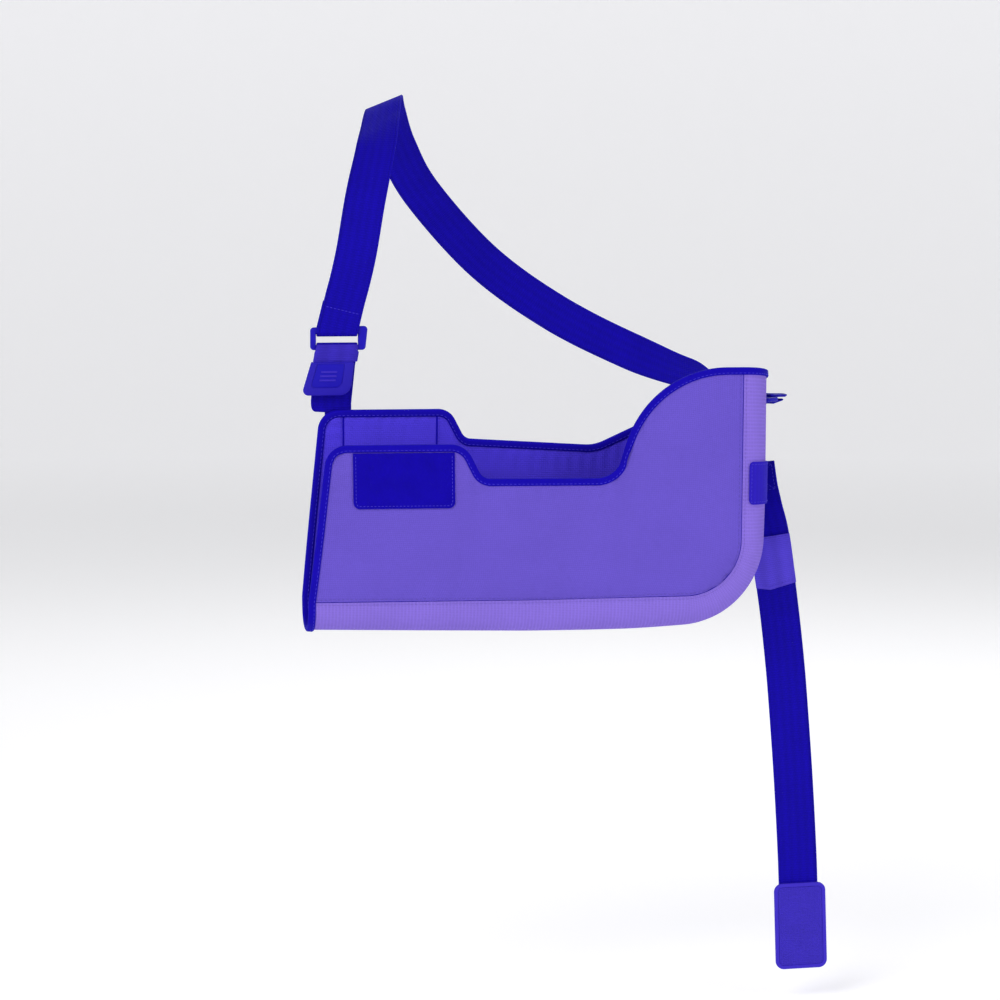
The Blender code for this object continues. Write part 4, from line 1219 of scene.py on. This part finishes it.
def edge_binding(frames, material):
    """The folded tape on the free edge: two legs that come down on the cloth, and a round fold."""
    inner = WALL / 2 + THREAD_LIFT
    outer = WALL / 2 + BINDING_CLEAR + BINDING_TAPE
    fold = BINDING_ROUND - BINDING_CLEAR - BINDING_TAPE
    outline = [(BINDING_LEG, inner), (BINDING_LEG + BINDING_HEM, outer * 0.72)]
    shares = ((0.9, 0.93), (0.62, 1.0), (0.36, 0.99))
    outline += [(BINDING_LEG * share, outer * high) for share, high in shares]
    for angle in [math.pi * k / 8 for k in range(1, 8)]:
        outline.append((fold - BINDING_ROUND * math.sin(angle), outer * 0.98 * math.cos(angle)))
    outline += [(a, -b) for a, b in reversed(outline[:5])]
    outline += [(0.0, -inner), (0.0, inner)]
    rings = [[edge + into * a + out * b for a, b in outline] for edge, into, out in frames]
    lengths = [[(a, reached) for a, _ in outline] for reached in lengths_along([ring[7] for ring in rings])]
    return swept_piece("bound_edge", rings, lengths, material, "binding_tape", "edge_binding", closed=True)


def binding_stitches(frames, material):
    """A row of stitches on each side of the tape, near its inner edge."""
    stitches = []
    place = BINDING_LEG * 0.7
    high = WALL / 2 + BINDING_CLEAR + BINDING_TAPE - THREAD_SINK
    loop = frames + frames[:1]
    for side in (1, -1):
        points = [edge + into * place + out * side * high for edge, into, out in loop]
        outs = [out * side for _, _, out in loop]
        stitches += stitch_line(points, outs)
    sew("binding_thread", stitches, material, "binding_tape")


def seams(front, back, gusset, cord, threads):
    """The dark cord in each seam, and the rows of stitches on both sides of it."""
    gusset_stitches = []
    sides = (("front", -1, front, threads[0], 0, 1), ("back", 1, back, threads[1], ROUND, ROUND - 1))
    for name, side, panel, panel_thread, place, next_place in sides:
        facing = BACKWARD * side
        radius = SEAM_GAP * CORD_SHARE
        round_cord(name + "_seam_cord", seam_centres(side), BACKWARD, radius, cord, "binding_tape")
        edge = [panel[i][0] for i in range(ALONG + 1)] + [panel[ALONG][j] for j in range(1, UP + 1)]
        inner = [panel[i][1] for i in range(ALONG)] + [panel[ALONG - 1][1]]
        inner += [panel[ALONG - 1][j] for j in range(1, UP + 1)]
        stitches = edge_stitches(edge, inner, facing)
        sew(name + "_seam_thread", stitches, panel_thread, name + "_cloth", SEAM_STITCH, SEAM_THREAD_THICK)
        edge = [row[place] for row in gusset]
        gusset_stitches += edge_stitches(edge, [row[next_place] for row in gusset], facing)
    sew("gusset_thread", gusset_stitches, threads[2], "gusset_cloth", SEAM_STITCH, SEAM_THREAD_THICK)


def patch_rows():
    """The landing patch's rows as (height above its foot, inset of its ends, width)."""
    rest = GRIP_HEIGHT - GRIP_RADIUS
    heights = [GRIP_RADIUS * (1 - math.cos(math.pi / 2 * k / 8)) for k in range(9)]
    heights += [GRIP_RADIUS + rest * k / 24 for k in range(1, 25)]
    rows = []
    for height in heights:
        missing = max(0.0, GRIP_RADIUS - height)
        inset = GRIP_RADIUS - math.sqrt(GRIP_RADIUS**2 - missing**2)
        rows.append((height, inset, GRIP_WIDTH - 2 * inset))
    return rows


def landing_patch(front, material, navy_thread):
    """The patch of loop pile sewn on the front wall."""
    tree = surface_of(front)
    left = HAND_X + GRIP_LEFT
    top = SEAM_Z + FRONT_HEIGHT - BINDING_LEG - GRIP_EDGE_CLEAR
    foot = top - GRIP_HEIGHT
    lift = WALL / 2 + GAP / 2 + PATCH_THICK / 2
    grid = []
    for height, inset, width in patch_rows():
        z = foot + height
        places = [left + inset + width * k / 60 for k in range(61)]
        grid.append([Vector((x, surface_y(tree, x, z) - lift, z)) for x in places])
    cloth_piece("landing_patch", grid, material, "loop_pile", PATCH_THICK, "grip_patch")
    inset = STITCH_INSET
    right = left + GRIP_WIDTH - inset
    corners = (
        ((left + inset, top - inset), 0),
        ((left + inset, foot + inset), GRIP_RADIUS - inset),
        ((right, foot + inset), GRIP_RADIUS - inset),
        ((right, top - inset), 0),
    )
    high = lift + PATCH_THICK / 2 + THREAD_LIFT
    points = laid_on(tree, spread(rounded_line(corners), 90), high)
    stitches = stitch_line(points, [FORWARD] * len(points), PATCH_PITCH)
    sew("patch_thread", stitches, navy_thread, "loop_pile", SHORT_STITCH)


def back_welts(back, material, navy_thread):
    """Two upright stitched welts inside the back wall's raised corner, joined at their foot."""
    tree = surface_of(back)
    top = SEAM_Z + BACK_HEIGHT - BINDING_LEG - GAP
    foot = top - WELT_DROP
    corners = (
        ((WELT_LEFT, top), 0),
        ((WELT_LEFT, foot), GRIP_RADIUS),
        ((WELT_RIGHT, foot), GRIP_RADIUS),
        ((WELT_RIGHT, top), 0),
    )
    line = spread(rounded_line(corners, step=math.radians(8)), 150, 20 * MM)
    points = laid_on(tree, line, WALL / 2 + WELT_THICK / 2)
    forward = [FORWARD] * len(points)
    ribbon("back_welt", points, forward, WELT_WIDTH, WELT_THICK, material, "binding_tape")
    runs = [[(i, WELT_WIDTH / 2 + WELT_STITCH_OFF) for i in range(len(points))]]
    sew_ribbon("welt_thread", points, forward, 0.0, runs, navy_thread, "back_cloth")


# Straps, buckle and tabs


def bar_wrap(centre, radius, start, end, count):
    """Points round a bar that lies along X, by angle from -Y (0) over the top (90 degrees)."""
    angles = [start + (end - start) * k / count for k in range(count + 1)]
    return [centre + Vector((0, -math.cos(angle), math.sin(angle))) * radius for angle in angles]


def strap(name, route, faces, material, node, shape=None):
    """A length of the standard webbing along a route."""
    ribbon(name, route, faces, WEB_WIDTH, WEB_THICK, material, "webbing", node, shape=shape)


def outward_from(points, centre):
    return [Vector((0, point.y - centre.y, point.z - centre.z)).normalized() for point in points]


def fold_point(share):
    """The middle of the hanger's folded end at a share of the fold's drop below the buckle's lower bar."""
    drop = FOLD_DROP * share
    back_off = FOLD_EASE + (drop - FOLD_DROP * 0.6) * FOLD_LEAN
    y = BUCKLE_Y - WRAP_RADIUS + back_off
    return Vector((BUCKLE_X - drop * FOLD_SLANT, y, BUCKLE_Z - BAR_SPACING / 2 - drop))


def hanger_strap(back, material, fold_cloth, navy_thread):
    """Webbing from behind the back panel's corner, up through the buckle and down in front."""
    bar = Vector((BUCKLE_X, BUCKLE_Y, BUCKLE_Z - BAR_SPACING / 2))
    tree = surface_of(back)
    foot_x = BUCKLE_X - HANGER_DRIFT
    panel_top = SEAM_Z + BACK_HEIGHT
    sewn = [panel_top - HANGER_LAP * share for share in (0.4, 0.7, 1.0)]
    clear = WALL / 2 + BINDING_CLEAR + BINDING_TAPE + GAP + WEB_THICK / 2
    columns = (foot_x, foot_x + WEB_WIDTH / 4, foot_x + WEB_WIDTH / 2)
    foot_y = clear + max(surface_y(tree, x, z) for z in sewn for x in columns)
    low = panel_top - HANGER_LAP
    route = [Vector((foot_x, foot_y, low + HANGER_LAP * row.up)) for row in HANGER_FOOT]
    wrap = bar_wrap(bar, WRAP_RADIUS, math.pi, 0, 24)
    rise = [route[-1].lerp(wrap[0], part) for part in (0.2, 0.4, 0.6, 0.8)]
    folded_end = [fold_point(share) for share in (0.15, 0.3, 0.6, 0.9, 1.2, 1.5, 1.8)]
    standing = len(route) + len(rise)
    folded = Vector((0, -1, -FOLD_LEAN)).normalized()
    faces = [BACKWARD] * standing + outward_from(wrap, bar) + [folded] * len(folded_end)
    route += rise + wrap + folded_end

    def trimmed(i, across):
        row = HANGER_FOOT[min(i, len(HANGER_FOOT) - 1)]
        cut = HANGER_NOTCH * row.notch + HANGER_ROUND * row.rounding
        half = WEB_WIDTH / 2
        return -half + (across + half) * (1 - cut / WEB_WIDTH), 0.0

    strap("hanger_webbing", route, faces, material, "hanger_strap", shape=trimmed)
    sides = (-WEB_ROW, WEB_ROW - HANGER_NOTCH)
    runs = [[(i, side) for side in sides] for i in (0, 3)]
    runs += [[(i, side) for i in range(4)] for side in sides]
    sew_ribbon("hanger_thread", route, faces, WEB_THICK / 2, runs, navy_thread, "webbing")
    over_bar = bar_wrap(bar, WRAP_RADIUS, math.radians(38), 0, 5)
    below = [fold_point(share) for share in (0.15, 0.3, 0.45, 0.6, 0.75, 0.88, 0.97)]
    band = over_bar + below
    band_faces = outward_from(over_bar, bar) + [folded] * len(below)
    narrow = BUCKLE_SLOT - GAP

    def fitted(i, across):
        grown = min(1.0, max(0, i + 1 - len(over_bar)) / 2)
        width = narrow + (FOLD_BAND_WIDTH - narrow) * grown
        return across * width / FOLD_BAND_WIDTH, across * FOLD_SLANT * grown

    size = (FOLD_BAND_WIDTH, FOLD_BAND_THICK)
    ribbon("fold_band", band, band_faces, *size, fold_cloth, "sleeve_cloth", shape=fitted)
    runs = across_runs([len(band) - 2], FOLD_BAND_WIDTH / 2 - 2 * MM)
    look = (fold_cloth, "sleeve_cloth", SHORT_STITCH, CLOSE_PITCH)
    sew_ribbon("fold_thread", band, band_faces, FOLD_BAND_THICK / 2, runs, *look)


def bulged(value):
    """A sine or cosine pressed towards a square with round corners."""
    return math.copysign(abs(value) ** 0.55, value)


def slot_ring(name, outer, inner, radius, place, thick, material, node):
    """A flat ring with rounded edges: a rounded outline and a rounded slot in it."""
    outer_line = rounded_line([(point, radius) for point in outer], closed=True, step=math.radians(10))
    inner_line = rounded_line([(point, SLOT_RADIUS) for point in inner], closed=True, step=math.radians(10))
    turns = [2 * math.pi * k / 20 for k in range(20)]
    rings = []
    for far, near in zip(outer_line, inner_line):
        half = (far - near) / 2
        ring = []
        for turn in turns:
            flat = near + half * (1 + bulged(math.cos(turn)))
            ring.append(place @ Vector((flat.x, bulged(math.sin(turn)) * thick / 2, flat.y)))
        rings.append(ring)
    lengths = [[(0.0, 0.0)] * len(turns)] * len(rings)
    swept_piece(name, rings, lengths, material, "buckle_plastic", node, closed=True)


def box_corners(left, right, low, high):
    return ((left, low), (right, low), (right, high), (left, high))


def strap_buckle(material):
    """The slot ring, with a heavier right end that stands up at its corner."""
    slot_high = BAR_SPACING / 2 - BAR / 2
    slot_half = BUCKLE_SLOT / 2
    left, right, high = -slot_half - BUCKLE_LEFT, slot_half + BUCKLE_RIGHT, slot_high + BAR
    outer = (
        (left, -high),
        (right - BUCKLE_NARROW, -high),
        (right, high + BUCKLE_RIGHT_LOBE),
        (left, high + BUCKLE_LEFT_LOBE),
    )
    inner = box_corners(-slot_half, slot_half, -slot_high, slot_high)
    place = Matrix.Translation((BUCKLE_X, BUCKLE_Y, BUCKLE_Z))
    slot_ring("slot_buckle", outer, inner, BUCKLE_RADIUS, place, BUCKLE_THICK, material, "strap_buckle")


def tab_field(inset):
    """The outline of the sunk field on the hook tab, or of something that much smaller."""
    corners = []
    for x, z, right, down, radius in HOOK_FIELD:
        corners.append(((x * MM + inset * right, z * MM + inset * down), radius * MM))
    return rounded_line(corners, closed=True, step=math.radians(8))


def hook_tab(material, field_plastic, rib_plastic):
    """The moulded tab on the folded end: a rim round a darker sunk field with three grip ribs."""
    half_top, half_foot = HOOK_TAB_TOP / 2, HOOK_TAB_FOOT / 2
    outline = rounded_line(
        (
            ((-half_top, 0), HOOK_TAB_TOP_RADIUS),
            ((half_top, 0), HOOK_TAB_TOP_RADIUS),
            ((half_foot - HOOK_TAB_SWEEP, -HOOK_TAB_LENGTH), HOOK_TAB_RIGHT_RADIUS),
            ((-half_foot - HOOK_TAB_SWEEP, -HOOK_TAB_LENGTH), HOOK_TAB_LEFT_RADIUS),
        ),
        closed=True,
        step=math.radians(7),
    )
    fold = fold_point(1.0)
    deep = WEB_THICK / 2 + 1.5 * GAP + HOOK_TAB_THICK / 2
    top = Vector((BUCKLE_X - HOOK_TAB_SHIFT, fold.y - deep, fold.z))
    place = Matrix.Translation(top) @ Matrix.Rotation(math.atan(FOLD_LEAN), 4, "X")
    inlay = ("fold_tab_field", field_plastic, "buckle_plastic")
    tab_with_inlay(tab_field, outline, HOOK_TAB_THICK, place, ("fold_tab", material, "hook_tab"), inlay)
    level = FIELD_DEEP - HOOK_TAB_THICK / 2
    bm = bmesh.new()
    for k in range(RIBS):
        z = RIB_TOP - RIB_PITCH * k
        middle = RIB_MIDDLE - RIB_SWEEP * k
        low = (middle - RIB_HALF_LENGTH, level - RIB_PROUD, z - RIB_HALF_HEIGHT)
        high = (middle + RIB_HALF_LENGTH, level - RIB_SEAT, z + RIB_HALF_HEIGHT)
        add_bar(bm, low, high, RIB_EDGE)
    bmesh.ops.transform(bm, matrix=place, verts=bm.verts)
    finished("fold_tab_ribs", bm, rib_plastic, "tab_plastic")


def ring_frame():
    """The elbow ring's own axes on the gusset: across the webbing, along it and up."""
    seat, across = gusset_side(station_at_height(-RING_DROP), RING_ANGLE, WALL / 2)
    outward = Vector((-across.y, across.x, 0))
    return Matrix.Translation((seat.x, seat.y, -RING_DROP)) @ axes_along(across, outward, UPWARD)


def elbow_ring(material):
    """A plain slot ring that lies flat, sticking out behind the elbow."""
    middle = RING_STAND + RING_BAR / 2 + RING_OPEN / 2
    half = RING_OPEN / 2
    place = ring_frame() @ Matrix.Translation((0, middle, 0)) @ Matrix.Rotation(math.radians(90), 4, "X")
    slot = RING_SLOT / 2
    outer = box_corners(-slot - RING_BAR, slot + RING_BAR, -half - RING_BAR, half + RING_BAR)
    inner = box_corners(-slot, slot, -half, half)
    slot_ring("elbow_slot_ring", outer, inner, RING_RADIUS, place, RING_BAR, material, "elbow_ring")


def ring_loop(material, navy_thread):
    """A short piece of webbing sewn to the elbow and folded round the ring's near bar."""
    place = ring_frame()
    turned = place.to_3x3()
    near = WEB_THICK / 2 + GAP
    half = RING_LOOP_SPREAD / 2
    rise = [(near, -half - RING_LOOP_TAIL), (near, -half - RING_LOOP_TAIL / 2), (near, -half)]
    wrap = [LOOP_TURN * (k / 8 - 1) for k in range(17)]
    rise += [(RING_STAND + RING_WRAP * math.cos(angle), RING_WRAP * math.sin(angle)) for angle in wrap]
    rise += [(near, half * 0.8), (near, half + RING_LOOP_TAIL * 0.45)]
    spine = spread([Vector(point) for point in rise], 60)
    centres = [place @ Vector((0, out, up)) for out, up in spine]
    ways = [way_at(spine, i) for i in range(len(spine))]
    faces = [turned @ Vector((0, along.y, -along.x)).normalized() for along in ways]
    strap("loop_webbing", centres, faces, material, "ring_loop")
    runs = across_runs((2, 6, len(spine) - 3), WEB_ROW)
    sew_ribbon("loop_thread", centres, faces, WEB_THICK / 2, runs, navy_thread, "webbing")


def shoulder_strap(material, navy_thread):
    """Webbing from the buckle up the chest, over the shoulder and across the back to the elbow ring."""
    bar = Vector((BUCKLE_X, BUCKLE_Y, BUCKLE_Z + BAR_SPACING / 2))
    wrap = bar_wrap(bar, WRAP_RADIUS, math.pi, 2 * math.pi, 20)
    rises = [STRAP_TAIL * k / 6 for k in range(6, 0, -1)]
    tail = [bar + Vector((rise * STRAP_SLANT, WRAP_RADIUS, rise)) for rise in rises]
    place = ring_frame()
    ring_bar = Vector((0, RING_STAND + RING_BAR + RING_OPEN, 0))
    ring_arc = bar_wrap(Vector(), 1.0, math.pi / 2, -math.pi / 2, 20)
    ring_wrap = [place @ (ring_bar + way * RING_WRAP) for way in ring_arc]
    ring_faces = [place.to_3x3() @ way for way in ring_arc]
    tail_low = (RING_WRAP + RING_PINCH) / 2
    ring_tail = []
    for share in (0.25, 0.5, 0.75, 1.0):
        low = RING_WRAP + (tail_low - RING_WRAP) * share * 2
        ring_tail.append(place @ (ring_bar + Vector((0, RING_TAIL * share, -low))))
    centres = [Vector((ELBOW_REACH * r.side, BODY_DEPTH * r.depth, -RING_DROP * r.drop)) for r in STRAP_ROUTE]
    faces = [Vector((r.face_x, r.face_y, r.face_z)).normalized() for r in STRAP_ROUTE]
    leaving = place @ (ring_bar + Vector((0, RING_TAIL, tail_low)))
    centres = [wrap[-1]] + centres + [leaving, ring_wrap[0]]
    faces = [FORWARD] + faces + [UPWARD] * 2
    middle = through(centres, 220)
    middle_faces = [nearest_face(point, centres, faces) for point in middle]
    route = tail + wrap[:-1] + middle[:-1] + ring_wrap + ring_tail
    looks = [BACKWARD] * len(tail) + outward_from(wrap[:-1], bar)
    looks += middle_faces[:-1] + ring_faces + [-UPWARD] * len(ring_tail)
    strap("shoulder_webbing", route, looks, material, "shoulder_strap")
    last = len(route) - 1
    runs = across_runs((1, 4, last, last - 2, len(tail) + len(wrap) + 4), WEB_ROW)
    sew_ribbon("shoulder_thread", route, looks, WEB_THICK / 2, runs, navy_thread, "webbing")


def keeper_point(share, low, lift):
    """A place on the keeper: a share of the way round the elbow, and how far it is below the keeper's top."""
    angle = KEEPER_START + (KEEPER_END - KEEPER_START) * share
    return gusset_point(station_at_height(-KEEPER_TOP - low), angle, lift)


def strap_keeper(material, navy_thread):
    """The patch that wraps the elbow's side and carries the waist strap's sewn end."""
    lift = WALL / 2 + GAP + PATCH_EASE / 2 + PATCH_THICK / 2
    shares = [0.5 - 0.5 * math.cos(math.pi / 2 * k / 6) for k in range(7)]
    corner = KEEPER_RADIUS / KEEPER_LENGTH
    around = [corner * 2 * share for share in shares]
    around += [corner + (1 - corner) * k / 54 for k in range(1, 55)]
    grid = []
    for share in around:
        missing = max(0.0, 1 - share / corner)
        inset = KEEPER_RADIUS * (1 - math.sqrt(1 - missing**2))
        rows = [inset + (KEEPER_HEIGHT - 2 * inset) * j / 20 for j in range(21)]
        grid.append([keeper_point(share, low, lift) for low in rows])
    cloth_piece("keeper_patch", grid, material, "keeper_cloth", PATCH_THICK, "strap_keeper")
    inset = STITCH_INSET
    low_edge = KEEPER_HEIGHT - inset
    start = inset / KEEPER_LENGTH
    places = [start + (KEEPER_ROW_END - start) * k / 50 for k in range(51)]
    line = [(share, inset) for share in reversed(places)]
    line += [(start, inset + (low_edge - inset) * k / 12) for k in range(1, 12)]
    line += [(share, low_edge) for share in places]
    high = lift + PATCH_THICK / 2 + THREAD_LIFT
    points = [keeper_point(share, low, high) for share, low in line]
    outs = [keeper_point(share, low, high + MM) - point for (share, low), point in zip(line, points)]
    sew("keeper_thread", stitch_line(points, outs, STITCH_PITCH), navy_thread, "keeper_cloth")


def waist_stations():
    """Centres and faces of the waist strap, from its sewn end on the keeper down to its tab."""
    lift = WALL / 2 + 3 * GAP + PATCH_THICK + WEB_THICK / 2
    seat, across = gusset_side(station_at_height(-WAIST_TOP - KEEPER_HEIGHT / 2), WAIST_ANGLE, lift)
    start = seat + across * (WEB_WIDTH / 2 - WAIST_INSET)
    centres = []
    faces = []
    for row in WAIST_ROUTE:
        side = across.lerp(Vector((1, 0, 0)), row.turned).normalized()
        x = start.x + WAIST_DRIFT * row.drift
        y = start.y + WAIST_BACK * row.turned
        centres.append(Vector((x, y, -WAIST_TOP - WAIST_LENGTH * row.down)))
        faces.append(Vector((side.y, -side.x, 0)))
    middle = through(centres, 160)
    return middle, [nearest_face(point, centres, faces) for point in middle]


def waist_strap(stations, material, navy_thread):
    strap("waist_webbing", *stations, material, "waist_strap")
    frames = ribbon_frames(*stations)
    last = len(frames) - 1
    stitches = ribbon_stitches(frames, WEB_THICK / 2, box_runs(1, 10, WEB_ROW))
    stitches += ribbon_stitches(frames, -WEB_THICK / 2, box_runs(last - 8, last - 1, WEB_ROW))
    sew("waist_thread", stitches, navy_thread, "webbing")


def strap_sleeve(stations, material):
    """The lighter piece stitched on the waist strap's front, with a shallow point at its foot."""
    centres, faces = stations
    lift = WEB_THICK / 2 + GAP / 2 + SLEEVE_THICK / 2
    top = -WAIST_TOP - SLEEVE_START
    points = []
    looks = []
    for k in range(31):
        z = top - SLEEVE_LENGTH * k / 30
        i = next(i for i in range(1, len(centres)) if centres[i].z <= z)
        part = (z - centres[i - 1].z) / (centres[i].z - centres[i - 1].z)
        look = faces[i - 1].lerp(faces[i], part).normalized()
        points.append(centres[i - 1].lerp(centres[i], part) + look * lift)
        looks.append(look)
    width = WEB_WIDTH + SLEEVE_WIDER
    tip = width * SLEEVE_POINT_AT

    def pointed(i, across):
        reach = width / 2 - tip if across > tip else width / 2 + tip
        return across, SLEEVE_POINT * (1 - abs(across - tip) / reach) * max(0.0, i / 30 - 0.5) / 0.5

    size = (width, SLEEVE_THICK)
    ribbon("waist_sleeve", points, looks, *size, material, "sleeve_cloth", "strap_sleeve", shape=pointed)
    side = width / 2 - 2 * MM
    runs = [[(1, -side), (1, side)], [(28, -side), (29, -side * 0.3), (30, tip), (28, side)]]
    look = (material, "sleeve_cloth", SHORT_STITCH, CLOSE_PITCH)
    sew_ribbon("sleeve_thread", points, looks, SLEEVE_THICK / 2, runs, *look)


def waist_end_tab(stations, material, hooks):
    """The grip tab on the waist strap's free end: a rim round a sunk field of hook tape."""
    centres = stations[0]
    run = centres[-1] - centres[-10]
    slant = math.atan2(run.x, -run.z)
    deep = WEB_THICK / 2 + GAP + TAB_THICK / 2
    top = centres[-1] + Vector((0, -deep, TAB_LAP))
    place = Matrix.Translation(top) @ Matrix.Rotation(-slant, 4, "Y")

    def outline(inset):
        side = TAB_WIDTH / 2 - inset
        corners = box_corners(-side, side, inset - TAB_LENGTH, -inset)
        rounded = [(corner, TAB_RADIUS - inset) for corner in corners]
        return rounded_line(rounded, closed=True, step=math.radians(6))

    def field(inset):
        return outline(TAB_RIM + inset)

    tab = ("end_tab", material, "waist_end_tab")
    tab_with_inlay(field, outline(0.0), TAB_THICK, place, tab, ("end_tab_hooks", hooks, "tab_plastic"))


def build_sling():
    navy_web = webbing("webbing", NAVY)
    tape = ribbed_tape("binding_tape", NAVY)
    plastic = moulded_plastic("buckle_plastic", NAVY)
    tab_plastic = moulded_plastic("tab_plastic", TAB_BLUE)
    navy_thread = thread("navy_thread", THREAD_BLUE)
    sleeve_cloth = webbing("sleeve_cloth", SLEEVE_BLUE, ELASTIC_PITCH, WEB_WIDTH * 2)
    fold_cloth = webbing("fold_cloth", FOLD_BLUE, ELASTIC_PITCH, WEB_WIDTH * 2)
    front = panel_grid(FRONT_TOP, FRONT_HEIGHT, FRONT_DIP, ELBOW_HEIGHT, "front", -1, FRONT_FOLDS)
    back = panel_grid(BACK_TOP, BACK_HEIGHT, BACK_DIP, ELBOW_HEIGHT - ELBOW_REAR_DROP, "back", 1, BACK_FOLDS)
    gusset = gusset_grid()
    front_cloth = padded_cloth("front_cloth", VIOLET, CLOTH_PITCH)
    back_cloth = padded_cloth("back_cloth", INNER_BLUE, CLOTH_PITCH)
    gusset_cloth = spacer_mesh("gusset_cloth", LILAC, MESH_PITCH)
    front_piece = cloth_piece("front_wall", front, front_cloth, "front_cloth", WALL, "front_panel")
    back_piece = cloth_piece("back_wall", back, back_cloth, "back_cloth", WALL, "back_panel")
    gusset_piece = cloth_piece("elbow_gusset", gusset, gusset_cloth, "gusset_cloth", WALL, "gusset")
    seam_threads = (
        thread("violet_thread", shade(VIOLET, 0.72)),
        thread("blue_thread", shade(INNER_BLUE, 0.7)),
        thread("lilac_thread", shade(LILAC, 0.72)),
    )
    seams(front, back, gusset, tape, seam_threads)
    frames = rim_frames(rim_stations(front, back, gusset))
    edge_binding(frames, tape)
    binding_stitches(frames, navy_thread)
    landing_patch(front, loop_pile("loop_pile", PILE_NAVY), navy_thread)
    back_welts(back, tape, navy_thread)
    hanger_strap(back, navy_web, fold_cloth, navy_thread)
    strap_buckle(plastic)
    hook_tab(moulded_plastic("fold_tab_plastic", FOLD_TAB_BLUE), plastic, tab_plastic)
    shoulder_strap(navy_web, navy_thread)
    elbow_ring(plastic)
    ring_loop(navy_web, navy_thread)
    # 0.3 is the strength of the keeper cloth's painted sheen bands
    strap_keeper(padded_cloth("keeper_cloth", KEEPER_BLUE, KEEPER_PITCH, 0.3), navy_thread)
    stations = waist_stations()
    waist_strap(stations, navy_web, navy_thread)
    strap_sleeve(stations, sleeve_cloth)
    waist_end_tab(stations, tab_plastic, hook_field("hook_tape", TAB_BLUE))


# Camera, floor and lights

CAMERA_TURN = math.radians(-8)
CAMERA_RISE = math.radians(5)
CAMERA_AWAY = 4.0
AIM = Vector((0.1046, -0.0478, -0.3748))
FIELD = 0.95
SENSOR = 36.0
STAGE_RADIUS = 8.0
STAGE_CURVE = 1.2
WALL_HEIGHT = 3.4
FLOOR_DROP = 0.03
STAGE_GLOW = 0.24
WORLD_GLOW = 0.44


def place_camera():
    """The camera at the picture's angle, with 0.95 m across the frame at the sling."""
    right = Vector((math.cos(CAMERA_TURN), math.sin(CAMERA_TURN), 0))
    level = Vector((-right.y, right.x, 0))
    ahead = level * math.cos(CAMERA_RISE) - UPWARD * math.sin(CAMERA_RISE)
    up = right.cross(ahead)
    data = bpy.data.cameras.new("camera")
    data.sensor_width = SENSOR
    data.lens = SENSOR * CAMERA_AWAY / FIELD
    camera = added("camera", data)
    camera.matrix_world = Matrix.Translation(AIM - ahead * CAMERA_AWAY) @ axes_along(right, up, -ahead)
    bpy.context.scene.camera = camera


def pale_stage():
    """A pale round floor that curves up into a low wall, so that every side has the same backdrop."""
    finish = Finish("stage_paint", 0.9)
    finish.colour((0.86, 0.86, 0.88))
    finish.surface.inputs["Emission Color"].default_value = (1.0, 1.0, 1.0, 1.0)
    finish.surface.inputs["Emission Strength"].default_value = STAGE_GLOW
    bm = bmesh.new()
    floor_z = cad_box[0].z - FLOOR_DROP
    corners = (
        ((0.0, floor_z), 0),
        ((STAGE_RADIUS, floor_z), STAGE_CURVE),
        ((STAGE_RADIUS, floor_z + WALL_HEIGHT), 0),
    )
    profile = rounded_line(corners, step=math.radians(6))
    verts = [bm.verts.new((x + AIM.x, AIM.y, z)) for x, z in profile]
    edges = [bm.edges.new(pair) for pair in zip(verts, verts[1:])]
    centre = (AIM.x, AIM.y, 0)
    turn = 2 * math.pi
    bmesh.ops.spin(bm, geom=verts + edges, cent=centre, axis=UPWARD, angle=turn, steps=96, use_merge=True)
    bmesh.ops.remove_doubles(bm, verts=bm.verts, dist=1e-5)
    added("floor", smooth_mesh("floor", bm, finish.material))


def soft_light(name, place, size, power):
    data = bpy.data.lights.new(name, "AREA")
    data.shape = "DISK"
    data.size = size
    data.energy = power
    light = added(name, data)
    light.location = place
    light.rotation_euler = (AIM - Vector(place)).to_track_quat("-Z", "Y").to_euler()


def light_studio():
    world = bpy.data.worlds.new("studio")
    world.use_nodes = True
    background = world.node_tree.nodes["Background"]
    background.inputs["Color"].default_value = (1.0, 1.0, 1.0, 1.0)
    background.inputs["Strength"].default_value = WORLD_GLOW
    bpy.context.scene.world = world
    soft_light("key", (-1.6, -2.6, 1.6), 1.8, 54)
    soft_light("fill", (2.2, -2.4, 0.4), 2.2, 22)
    soft_light("rear", (1.0, 2.2, 1.8), 1.6, 34)
    bpy.context.scene.view_settings.view_transform = "Standard"


place_camera()
build_sling()
pale_stage()
light_studio()
